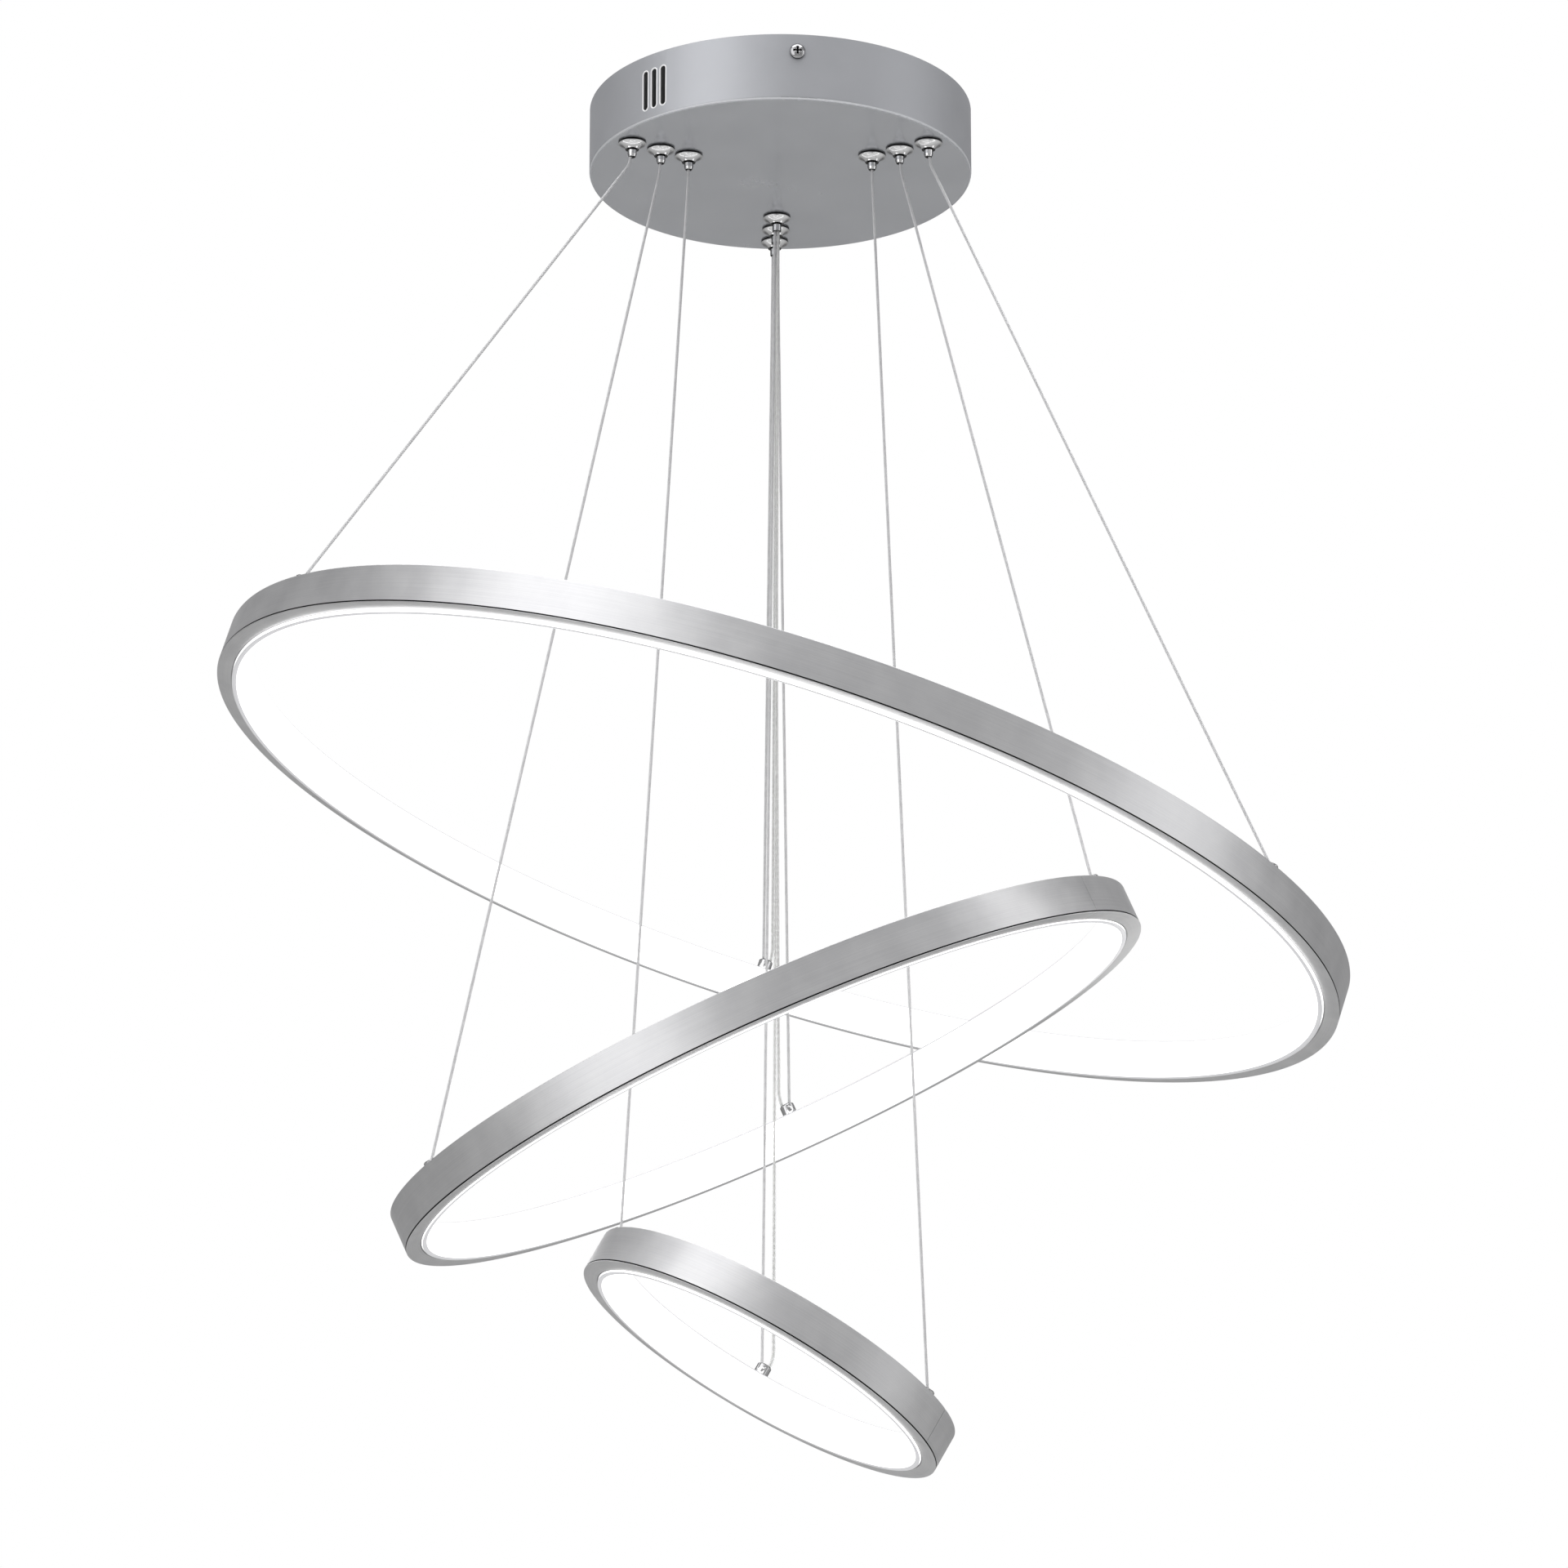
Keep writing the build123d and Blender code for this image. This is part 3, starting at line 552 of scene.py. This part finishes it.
def chipGlow():
    material, tree, shader = startMaterial("chip phosphor")
    marks = placeGroup(tree, smudgeGroup, objectVector(tree), Scale=phosphor["scale"])
    tone = spread(tree, marks.outputs["Mask"], 0.0, 1.0)
    setColour(tree, shader, tone, phosphor["dark"], phosphor["light"])
    setColour(tree, shader, tone, phosphor["dim"], phosphor["bright"], "Emission Color")
    setRoughness(tree, shader, marks.outputs["Mask"], *phosphor["rough"])
    shader.inputs["Emission Strength"].default_value = 1.0
    return material


clearPlastic = {
    "dark": (0.86, 0.87, 0.87),
    "light": (0.95, 0.96, 0.96),
    "rough": (0.08, 0.2),
    "solid": (0.28, 0.38),  # how much of it hides what is behind
    "scale": 200.0,
    "bending": 1.5,
}


def clearJacket():
    material, tree, shader = startMaterial("clear jacket")
    marks = placeGroup(tree, smudgeGroup, objectVector(tree), Scale=clearPlastic["scale"])
    tone = spread(tree, marks.outputs["Mask"], 0.0, 1.0)
    setColour(tree, shader, tone, clearPlastic["dark"], clearPlastic["light"])
    setRoughness(tree, shader, marks.outputs["Mask"], *clearPlastic["rough"])
    solid = spread(tree, marks.outputs["Mask"], *clearPlastic["solid"])
    tree.links.new(solid, shader.inputs["Alpha"])
    shader.inputs["IOR"].default_value = clearPlastic["bending"]
    return material


for ringName in rings:
    materials["lit opal " + ringName] = opalGlow(ringName)
materials["chip phosphor"] = chipGlow()
materials["clear jacket"] = clearJacket()

# near black, for painted shade in slots, gaps and recesses, and painted dark reflection on rims
dark = (0.012, 0.012, 0.013)


def partsOf(material):
    tree = material.node_tree
    shader = tree.nodes["Principled BSDF"]
    vector = next(n for n in tree.nodes if n.type == "MAPPING").outputs[0]
    return tree, shader, vector


canopyLook = {
    "rim": 97 * mm,  # the fold's bright line is outside this radius
    "fold": (-35.7 * mm, -35.06 * mm),  # and between these heights
    "foldHighlight": (0.74, 0.75, 0.78),
    "underside": -35.9 * mm,
    "underGloss": -0.25,  # added to the roughness
    "wallShadeShare": 0.22,
    "wallShade": (0.34, 0.345, 0.365),
    "floorTop": -35.0 * mm,
    "innerFace": 98.9 * mm,
    "outerFace": 99.8 * mm,
    "innerShade": (0.30, 0.305, 0.31),
    "slotsUnder": -2 * mm,
}


# satin paint outside, bare sheet inside darkened with painted shade, painted shade on the side wall
# and in the vent slots, and a painted highlight along the fold
def finishCanopy():
    look = canopyLook
    tree, shader, vector = partsOf(materials["canopy paint"])
    radius, height = roundPlace(tree, vector)
    fold = both(tree, isOver(tree, radius, look["rim"]), isBetween(tree, height, *look["fold"]))
    # painted highlight along the fold
    paintOver(tree, shader, fold, look["foldHighlight"])
    gloss = addMath(tree, "MULTIPLY", isUnder(tree, height, look["underside"]), look["underGloss"])
    rough = shader.inputs["Roughness"].links[0].from_socket
    tree.links.new(addMath(tree, "ADD", rough, gloss), shader.inputs["Roughness"])
    # painted shade on the side wall
    wall = addMath(tree, "MULTIPLY", isOver(tree, height, look["fold"][1]), look["wallShadeShare"])
    paintOver(tree, shader, wall, look["wallShade"])
    inside = isOver(tree, height, look["floorTop"])
    inner = both(tree, inside, isUnder(tree, radius, look["innerFace"]))
    # painted shade on the bare sheet inside
    paintOver(tree, shader, inner, look["innerShade"])
    # painted shade on the cut faces of the vent slots
    cut = both(tree, inside, isBetween(tree, radius, look["innerFace"], look["outerFace"]))
    slots = both(tree, cut, isUnder(tree, height, look["slotsUnder"]))
    paintOver(tree, shader, slots, dark)
    painted = addMath(tree, "SUBTRACT", 1.0, slots)
    metal = addMath(tree, "MULTIPLY", painted, finishes["canopy paint"]["metal"])
    tree.links.new(metal, shader.inputs["Metallic"])


gripperLook = {
    "flangeRimShade": (-36.93 * mm, -35.9 * mm),
    "throat": -40.12 * mm,
    "tipGap": (-40.75 * mm, -40.2 * mm),
    "tipHole": -44.2 * mm,
}


# painted dark reflection and shade round the flange's rim, and painted shade in the gap round the
# plunger and in the plunger's tip
def finishGrippers():
    look = gripperLook
    tree, shader, vector = partsOf(materials["gripper chrome"])
    height = roundPlace(tree, vector)[1]
    paintOver(tree, shader, isBetween(tree, height, *look["flangeRimShade"]), dark)
    paintOver(tree, shader, isUnder(tree, height, look["throat"]), dark)
    tree, shader, vector = partsOf(materials["plunger chrome"])
    height = roundPlace(tree, vector)[1]
    paintOver(tree, shader, isBetween(tree, height, *look["tipGap"]), dark)
    paintOver(tree, shader, isUnder(tree, height, look["tipHole"]), dark)


screwLook = {
    "height": -9.7 * mm,
    "side": -85,  # degrees round from the right
    "slotFloor": 102.1 * mm,  # from the Z axis
    "slotReach": 2.4 * mm,
    "headShadeTo": 100.95 * mm,
}


# painted shade in the cross slots and under the heads of the canopy's screws, which face outwards
# on one line through the Z axis
def finishScrews():
    look = screwLook
    tree, shader, vector = partsOf(materials["screw chrome"])
    place = Matrix.Translation((0, 0, look["height"]))
    place @= Matrix.Rotation(math.radians(look["side"]), 4, "Z")
    place @= Matrix.Rotation(math.radians(90), 4, "Y")
    radius, height = roundPlace(tree, objectVector(tree, place))
    out = addMath(tree, "ABSOLUTE", height)
    deep = isUnder(tree, out, look["slotFloor"])
    paintOver(tree, shader, both(tree, deep, isUnder(tree, radius, look["slotReach"])), dark)
    paintOver(tree, shader, isUnder(tree, out, look["headShadeTo"]), dark)


finishCanopy()
finishGrippers()
finishScrews()
print("materials made")


# close points along the smooth line that the route's points control
def routeLine(points):
    curve = bpy.data.curves.new("route", "CURVE")
    curve.dimensions = "3D"
    curve.resolution_u = 32
    spline = curve.splines.new("NURBS")
    spline.points.add(len(points) - 1)
    for control, point in zip(spline.points, points):
        control.co = (*point, 1)
    spline.order_u = 3
    spline.use_endpoint_u = True
    holder = bpy.data.objects.new("route", curve)
    mesh = bpy.data.meshes.new_from_object(holder)
    line = [v.co.copy() for v in mesh.vertices]
    bpy.data.objects.remove(holder)
    bpy.data.curves.remove(curve)
    bpy.data.meshes.remove(mesh)
    return line


# how far along the line each of its points is
def lengthsAlong(line):
    lengths = [0.0]
    for a, b in zip(line, line[1:]):
        lengths.append(lengths[-1] + (b - a).length)
    return lengths


# spots a step apart along the line, each with its direction and a steady sideways
def evenSpots(line, step):
    lengths = lengthsAlong(line)
    count = max(2, round(lengths[-1] / step))
    spots = []
    at = 0
    sideways = Vector((1, 0, 0))
    for n in range(count + 1):
        goal = lengths[-1] * n / count
        while at < len(line) - 2 and lengths[at + 1] < goal:
            at += 1
        run = line[at + 1] - line[at]
        along = run.normalized()
        sideways = (sideways - along * sideways.dot(along)).normalized()
        spots.append((line[at] + along * (goal - lengths[at]), along, sideways.copy()))
    return spots


# round tubes with closed ends along lists of points
def tubeMesh(name, paths, radius, roundness):
    curve = bpy.data.curves.new(name, "CURVE")
    curve.dimensions = "3D"
    curve.bevel_depth = radius
    curve.bevel_resolution = roundness
    curve.use_fill_caps = True
    for path in paths:
        spline = curve.splines.new("POLY")
        spline.points.add(len(path) - 1)
        for control, point in zip(spline.points, path):
            control.co = (*point, 1)
    holder = bpy.data.objects.new(name, curve)
    mesh = bpy.data.meshes.new_from_object(holder)
    mesh.name = name
    bpy.data.objects.remove(holder)
    bpy.data.curves.remove(curve)
    return mesh


def addPiece(name, mesh, material, body):
    mesh.materials.clear()
    mesh.materials.append(material)
    mesh.shade_smooth()
    piece = bpy.data.objects.new(name, mesh)
    scene.collection.objects.link(piece)
    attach(piece, body)
    return piece


# a helix round the spots, with one turn in each pitch
def strandPath(spots, step, pitch, reach, start):
    path = []
    for n, (spot, along, sideways) in enumerate(spots):
        turn = start + 2 * math.pi * n * step / pitch
        other = along.cross(sideways)
        path.append(spot + (sideways * math.cos(turn) + other * math.sin(turn)) * reach)
    return path


# gives the piece its own copy of its mesh
def squashWithRing(piece):
    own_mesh(piece)


wire = {
    "top": -25 * mm,  # where the tail ends, inside the canopy
    "bend": -46.4 * mm,
    "diameter": 1.5 * mm,
    "lead": 9.0 * mm,  # from the bend to where the run is straight
    "aside": 0.97 * mm,  # in a gripper that it shares with a power lead
    "pitch": 9.0 * mm,
    "strands": 6,  # round a middle one
    "ballAbove": {"left": 0.4 * mm, "right": 0.4 * mm, "far": 4.3 * mm},  # over the ring's top face
    "inset": 4.5 * mm,  # of the anchors, from the ring's outer face
    "cupAside": 1.3 * mm,  # in an anchor that it shares with a power lead
    "roundness": 1,
    "ball": 3.0 * mm,
    "ballSegments": 20,
    "ballRings": 12,
}
spotsPerTurn = 10


# which side of a far gripper the power lead takes
def handOf(size):
    return 1 if math.cos(math.radians(rings[size]["lowSide"])) > 0 else -1


# a spot on the ring, in the row's frame
def onRing(size, inset, degrees, height, aside=0.0):
    outward = polar(1, degrees)
    local = outward * (rings[size]["radius"] - inset) + Vector((0, 0, height))
    local += Vector((0, 0, 1)).cross(outward) * aside
    return ringMatrix(size) @ local


def wireEnds(size, side):
    ring = rings[size]
    hand = handOf(size) if side == "far" else 0
    top = polar(ring["rowRadius"], sides[side], wire["top"])
    top.x -= wire["aside"] * hand
    height = halfHeight + wire["ballAbove"][side]
    aside = wire["cupAside"] * hand
    return top, onRing(size, wire["inset"], ring["anchors"][side], height, aside)


def addWire(size, side):
    top, ball = wireEnds(size, side)
    bend = Vector((top.x, top.y, wire["bend"]))
    run = (ball - bend).normalized()
    line = routeLine([top, bend, bend + run * wire["lead"], ball])
    strand = wire["diameter"] / 6  # a strand's radius, with three side by side
    step = wire["pitch"] / spotsPerTurn
    spots = evenSpots(line, step)
    paths = [[spot for spot, along, sideways in spots]]
    for n in range(wire["strands"]):
        start = 2 * math.pi * n / wire["strands"]
        paths.append(strandPath(spots, step, wire["pitch"], 2 * strand, start))
    name = f"{size}_{side}_wire_rope"
    mesh = tubeMesh(name, paths, strand, wire["roundness"])
    piece = addPiece(name, mesh, materials["steel rope"], "canopy")
    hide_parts(f"{size}_{side}_wire")
    squashWithRing(piece)


# the cast ball on each wire's end, in its anchor's cup
def addBalls(size):
    shape = bmesh.new()
    for side in sides:
        bmesh.ops.create_uvsphere(
            shape,
            u_segments=wire["ballSegments"],
            v_segments=wire["ballRings"],
            radius=wire["ball"] / 2,
            matrix=Matrix.Translation(wireEnds(size, side)[1]),
        )
    name = size + "_ring_wire_balls"
    addPiece(name, meshFrom(shape, name), materials["chrome"], size + "_ring")


def meshFrom(shape, name):
    mesh = bpy.data.meshes.new(name)
    bmesh.ops.recalc_face_normals(shape, faces=shape.faces)
    shape.to_mesh(mesh)
    shape.free()
    return mesh


lead = {
    "top": -28 * mm,
    "bend": -47.6 * mm,
    "diameter": 1.8 * mm,
    "straight": 10.8 * mm,  # six diameters each side of a corner
    "aside": 0.77 * mm,  # in the gripper
    "entryAside": 2.2 * mm,  # in the anchor
    "hood": 10.0 * mm,  # over the ring's top face, where it turns down into the anchor
    "mouth": 5.1 * mm,  # just inside the top of the anchor, where the part in the ring joins on
    "inside": -3.1 * mm,
    "core": 0.5 * mm,
    "coreApart": 0.3 * mm,  # from the lead's middle
    "pitch": 7.0 * mm,
    "roundness": 3,
    "coreRoundness": 1,
}


def addLead(size):
    ring = rings[size]
    hand = handOf(size)
    top = polar(ring["rowRadius"], sides["far"], lead["top"])
    top.x += lead["aside"] * hand
    bend = Vector((top.x, top.y, lead["bend"]))
    angle = ring["anchors"]["far"]
    hood, mouth, inside = (
        onRing(size, wire["inset"], angle, halfHeight + height, -lead["entryAside"] * hand)
        for height in (lead["hood"], lead["mouth"], lead["inside"])
    )
    run = (hood - bend).normalized() * lead["straight"]
    line = routeLine([top, bend, bend + run, hood - run, hood, mouth])
    step = lead["pitch"] / spotsPerTurn
    spots = evenSpots(line, step)
    centre = [spot for spot, along, sideways in spots]
    name = size + "_power_lead_jacket"
    mesh = tubeMesh(name, [centre], lead["diameter"] / 2, lead["roundness"])
    jacket = addPiece(name, mesh, materials["clear jacket"], "canopy")
    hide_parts(size + "_power_lead")
    paths = [
        strandPath(spots, step, lead["pitch"], lead["coreApart"], start) for start in (0, math.pi)
    ]
    name = size + "_power_lead_cores"
    mesh = tubeMesh(name, paths, lead["core"] / 2, lead["coreRoundness"])
    cores = addPiece(name, mesh, materials["tinned copper"], "canopy")
    for piece in (jacket, cores):
        squashWithRing(piece)
    name = size + "_ring_lead_entry"
    entry = tubeMesh(name, [[mouth, inside]], lead["diameter"] / 2, lead["roundness"])
    addPiece(name, entry, materials["clear jacket"], size + "_ring")


for ringName in rings:
    addLead(ringName)
    for sideName in sides:
        addWire(ringName, sideName)
    addBalls(ringName)
print("wires and leads made")

insert = {
    "drop": 0.6 * mm,  # below the channel's top face
    "wall": 1.8 * mm,
    "leg": 3.0 * mm,  # how far it reaches into the channel
    "edge": 1.5 * mm,
    "mouthGap": 0.02 * mm,
    "legGap": 0.05 * mm,
    "faceSlack": 0.1 * mm,
}
cornerAngle = 60  # degrees between two faces, over which their edge is a corner
nearly = 0.01 * mm


# the edges between faces that meet at a corner, whose ends all pass the test
def cornersWhere(shape, test):
    least = math.radians(cornerAngle)
    return [
        edge
        for edge in shape.edges
        if edge.calc_face_angle(0) > least and all(test(vert.co) for vert in edge.verts)
    ]


def roundEdges(shape, edges, width, segments, clamp=False):
    bmesh.ops.bevel(
        shape,
        geom=edges,
        offset=width,
        affect="EDGES",
        segments=segments,
        profile=0.5,
        material=-1,
        clamp_overlap=clamp,
    )


# spins a closed outline of (radius, height) points round Z, leaving a gap in degrees
def turnOutline(outline, steps, start=0.0, gap=0.0):
    shape = bmesh.new()
    corners = [shape.verts.new((radius, 0, height)) for radius, height in outline]
    edges = [shape.edges.new(pair) for pair in zip(corners, corners[1:] + corners[:1])]
    turn = Matrix.Rotation(math.radians(start), 3, "Z")
    bmesh.ops.rotate(shape, verts=corners, cent=(0, 0, 0), matrix=turn)
    bmesh.ops.spin(
        shape,
        geom=corners + edges,
        cent=(0, 0, 0),
        axis=(0, 0, 1),
        angle=math.radians(360 - gap),
        steps=steps,
        use_merge=gap == 0,
    )
    ends = [edge for edge in shape.edges if edge.is_boundary]
    if ends:
        bmesh.ops.holes_fill(shape, edges=ends, sides=0)
    bmesh.ops.recalc_face_normals(shape, faces=shape.faces)
    return shape


# keeps broad faces flat beside their small rounded edges
def addRounded(piece):
    piece.modifiers.new("flat faces", "WEIGHTED_NORMAL").keep_sharp = True


def addProfile(size):
    outer = rings[size]["radius"]
    half = halfHeight
    low = -half + section["grooveRise"]
    high = low + section["grooveWidth"]
    mouth = outer - section["lip"]
    inner = outer - section["wall"]
    floor = half - section["wall"]
    outline = [
        (outer, -half),
        (outer, low),
        (outer - section["grooveDepth"], low),
        (outer - section["grooveDepth"], high),
        (outer, high),
        (outer, half),
        (mouth, half),
        (mouth, floor),
        (inner, floor),
        (inner, -floor),
        (mouth, -floor),
        (mouth, -half),
    ]
    gap = math.degrees(section["seamGap"] / outer)
    shape = turnOutline(outline, rings[size]["steps"], rings[size]["seam"] + gap / 2, gap)
    ends = cornersWhere(shape, lambda spot: abs(spot.z) > half - nearly)
    roundEdges(shape, ends, section["edge"], segments=2)
    rest = cornersWhere(shape, lambda spot: True)
    roundEdges(shape, rest, section["fineEdge"], segments=1, clamp=True)
    bmesh.ops.transform(shape, matrix=ringMatrix(size), verts=shape.verts)
    name = size + "_ring_band"
    mesh = meshFrom(shape, name)
    piece = addPiece(name, mesh, materials["band " + size], size + "_ring")
    addRounded(piece)
    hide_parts(size + "_ring_profile")


def addDiffuser(size):
    outer = rings[size]["radius"]
    top = halfHeight - insert["drop"]
    low = -halfHeight - rings[size]["proud"]
    floor = halfHeight - section["wall"]
    leg = floor - insert["legGap"]
    face = outer - section["width"]
    mouth = outer - section["lip"] - insert["mouthGap"]
    back = mouth + insert["leg"]
    thin = insert["wall"]
    outline = [
        (face, low),
        (face, top),
        (mouth, top),
        (mouth, leg),
        (back, leg),
        (back, floor - thin),
        (face + thin, floor - thin),
        (face + thin, thin - floor),
        (back, thin - floor),
        (back, -leg),
        (mouth, -leg),
        (mouth, low),
    ]
    shape = turnOutline(outline, rings[size]["steps"])
    lips = cornersWhere(shape, lambda spot: spot.xy.length < face + insert["faceSlack"])
    roundEdges(shape, lips, insert["edge"], segments=4)
    bmesh.ops.transform(shape, matrix=ringMatrix(size), verts=shape.verts)
    name = size + "_ring_opal"
    mesh = meshFrom(shape, name)
    piece = addPiece(name, mesh, materials["lit opal " + size], size + "_ring")
    addRounded(piece)
    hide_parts(size + "_ring_diffuser")


for ringName in rings:
    addProfile(ringName)
    addDiffuser(ringName)
print("rings made")

fittings = {"join": 0.002 * mm, "sharp": 32}  # corners over this many degrees stay sharp


# a joined copy of a CAD node's mesh, with smooth round faces
def addShaded(node, name, finish):
    shape = bmesh.new()
    shape.from_mesh(frame["nodes"][node].data)
    bmesh.ops.remove_doubles(shape, verts=shape.verts, dist=fittings["join"])
    bmesh.ops.dissolve_degenerate(shape, edges=shape.edges, dist=fittings["join"])
    mesh = bpy.data.meshes.new(name)
    shape.to_mesh(mesh)
    shape.free()
    piece = addPiece(name, mesh, materials[finish], frame["nodes"][node]["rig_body"])
    mesh.set_sharp_from_angle(angle=math.radians(fittings["sharp"]))
    addRounded(piece)
    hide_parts(node)


addShaded("canopy_shell", "canopy_drum", "canopy paint")
addShaded("canopy_side_screws", "canopy_pan_screws", "screw chrome")
for ringName in rings:
    addShaded(ringName + "_ring_grippers", ringName + "_gripper_bodies", "gripper chrome")
    addShaded(ringName + "_ring_anchors", ringName + "_anchor_barrels", "anchor chrome")
    for sideName in sides:
        node = f"{ringName}_{sideName}_plunger"
        addShaded(node, node + "_tip", "plunger chrome")
print("fittings shaded")

# the CAD nodes that stay, and the finish of each
nodeFinishes = {
    "ceiling_bracket": "zinc plate",
    "earth_screw": "zinc plate",
    "gripper_nuts": "zinc plate",
    "driver_pad": "pad foam",
    "driver_case": "white plastic",
    "driver_lid": "white plastic",
    "driver_board": "circuit board",
    "driver_output_leads": "red sleeve",
    "driver_input_leads": "brown sleeve",
    "terminal_block": "white plastic",
    "terminal_screws": "brass",
}
ringFinishes = {
    "led_strip": "strip film",
    "led_chips": "chip phosphor",
    "splice_plate": "zinc plate",
    "anchor_nuts": "zinc plate",
}
for ringName in rings:
    for tail, finish in ringFinishes.items():
        nodeFinishes[f"{ringName}_ring_{tail}"] = finish
for node, finish in nodeFinishes.items():
    mesh = frame["nodes"][node].data
    for slotNumber in range(len(mesh.materials)):
        mesh.materials[slotNumber] = materials[finish]
print("CAD nodes finished")

ventLips = {
    "angles": (-133.9, -130.5, -127.1, 46.1, 49.5, 52.9),
    "length": 21.5 * mm,
    "width": 3.2 * mm,
    "drop": 19.4 * mm,  # of a slot's middle, from the ceiling
    "thick": 0.8 * mm,
    "clear": 0.35 * mm,  # from the slot's edge to the middle of the lip
    "wallRadius": 100 * mm,
    "inset": 0.12 * mm,  # how far the lip's middle is sunk in the wall
    "corners": 32,
    "roundness": 2,
}


# a rolled lip round each vent slot, near white as a painted highlight on the slot's edge
def addVentLips():
    paths = []
    end = ventLips["width"] / 2 + ventLips["clear"]
    run = ventLips["length"] / 2 - ventLips["width"] / 2
    reach = ventLips["wallRadius"] - ventLips["inset"]
    corners = ventLips["corners"]
    for angle in ventLips["angles"]:
        path = []
        for n in range(corners + 1):
            turn = math.radians(360 * n / corners)
            across, up = end * math.cos(turn), end * math.sin(turn)
            up += run if n <= corners / 2 else -run
            place = polar(reach, angle + math.degrees(across / reach), up - ventLips["drop"])
            path.append(place)
        path.append(path[0])
        paths.append(path)
    name = "vent_lip_highlights"
    mesh = tubeMesh(name, paths, ventLips["thick"] / 2, ventLips["roundness"])
    addPiece(name, mesh, materials["vent lip highlight"], "canopy")


addVentLips()
print("vent lips made")

studio = {
    "floorHeight": -2.3,
    "floorSize": 60.0,
    "floorColour": (0.88, 0.88, 0.87),
    "floorRough": 0.7,
    "floorLift": 0.42,  # makes it paler to the camera, and to nothing else
    "patchRadius": 98.5 * mm,
    "patchHeight": 0.3 * mm,
    "patchShade": (0.02, 0.02, 0.02),
    "skyFront": 0.52,  # what the metal sees towards the camera
    "skyBack": 0.35,  # and behind the lamp
    "skyFrom": -0.8,  # the blend between them, along the view
    "skyTo": 0.9,
    "softboxes": {
        "left": {"azimuth": -44, "away": 2.6, "height": 0.55, "size": (2.1, 3.8), "power": 30.5},
        "right": {"azimuth": 77, "away": 2.6, "height": -0.1, "size": (1.3, 2.5), "power": 8.9},
    },
    "overhead": {"height": 2.2, "size": (3.0, 3.0), "power": 60.0},
}


def addToStage(name, shape, material):
    mesh = bpy.data.meshes.new(name)
    shape.to_mesh(mesh)
    shape.free()
    mesh.materials.append(material)
    piece = bpy.data.objects.new(name, mesh)
    scene.collection.objects.link(piece)


def isCameraRay(tree):
    return tree.nodes.new("ShaderNodeLightPath").outputs["Is Camera Ray"]


def isBackOfFace(tree):
    return tree.nodes.new("ShaderNodeNewGeometry").outputs["Backfacing"]


# pale floor that can't be seen from below
def addFloor():
    shape = bmesh.new()
    bmesh.ops.create_grid(shape, x_segments=1, y_segments=1, size=studio["floorSize"] / 2)
    bmesh.ops.translate(shape, verts=shape.verts, vec=(0, 0, studio["floorHeight"]))
    material, tree, shader = startMaterial("pale floor")
    shader.inputs["Base Color"].default_value = (*studio["floorColour"], 1)
    shader.inputs["Roughness"].default_value = studio["floorRough"]
    shader.inputs["Emission Color"].default_value = (1, 1, 1, 1)
    lift = addMath(tree, "MULTIPLY", isCameraRay(tree), studio["floorLift"])
    tree.links.new(lift, shader.inputs["Emission Strength"])
    front = addMath(tree, "SUBTRACT", 1.0, isBackOfFace(tree))
    tree.links.new(front, shader.inputs["Alpha"])
    addToStage("floor", shape, material)


# dark ceiling over the canopy, painted shade there only for what looks up through the vents
def addCeilingPatch():
    shape = bmesh.new()
    bmesh.ops.create_circle(shape, cap_ends=True, segments=96, radius=studio["patchRadius"])
    bmesh.ops.translate(shape, verts=shape.verts, vec=(0, 0, studio["patchHeight"]))
    material, tree, shader = startMaterial("ceiling seen from below")
    shader.inputs["Base Color"].default_value = (*studio["patchShade"], 1)
    seen = both(tree, isBackOfFace(tree), isCameraRay(tree))
    tree.links.new(seen, shader.inputs["Alpha"])
    addToStage("ceiling_patch", shape, material)


def addSoftbox(name, place, target, size, power):
    data = bpy.data.lights.new(name, "AREA")
    data.shape = "RECTANGLE"
    data.size, data.size_y = size
    data.energy = power
    light = bpy.data.objects.new(name, data)
    light.location = place
    light.rotation_euler = (Vector(target) - Vector(place)).to_track_quat("-Z", "Y").to_euler()
    light.visible_camera = False
    scene.collection.objects.link(light)


def addSky():
    world = bpy.data.worlds.new("studio")
    scene.world = world
    world.use_nodes = True
    tree = world.node_tree
    surroundings = tree.nodes["Background"]
    direction = splitVector(tree, tree.nodes.new("ShaderNodeTexCoord").outputs["Generated"])
    towards = tree.nodes.new("ShaderNodeMapRange")
    towards.interpolation_type = "SMOOTHSTEP"
    towards.inputs["From Min"].default_value = studio["skyFrom"]
    towards.inputs["From Max"].default_value = studio["skyTo"]
    towards.inputs["To Min"].default_value = studio["skyFront"]
    towards.inputs["To Max"].default_value = studio["skyBack"]
    tree.links.new(direction["Y"], towards.inputs["Value"])
    tree.links.new(towards.outputs["Result"], surroundings.inputs["Color"])
    plain = tree.nodes.new("ShaderNodeBackground")
    plain.inputs["Color"].default_value = (1, 1, 1, 1)
    mix = tree.nodes.new("ShaderNodeMixShader")
    tree.links.new(isCameraRay(tree), mix.inputs["Fac"])
    tree.links.new(surroundings.outputs[0], mix.inputs[1])
    tree.links.new(plain.outputs[0], mix.inputs[2])
    tree.links.new(mix.outputs[0], tree.nodes["World Output"].inputs["Surface"])


def addStudio():
    addFloor()
    addCeilingPatch()
    addSky()
    for name, box in studio["softboxes"].items():
        place = polar(box["away"], box["azimuth"] - 90, box["height"])
        addSoftbox("softbox_" + name, place, (0, 0, place.z), box["size"], box["power"])
    over = studio["overhead"]
    addSoftbox("overhead", (0, 0, over["height"]), (0, 0, 0), over["size"], over["power"])


addStudio()
print("studio lit")
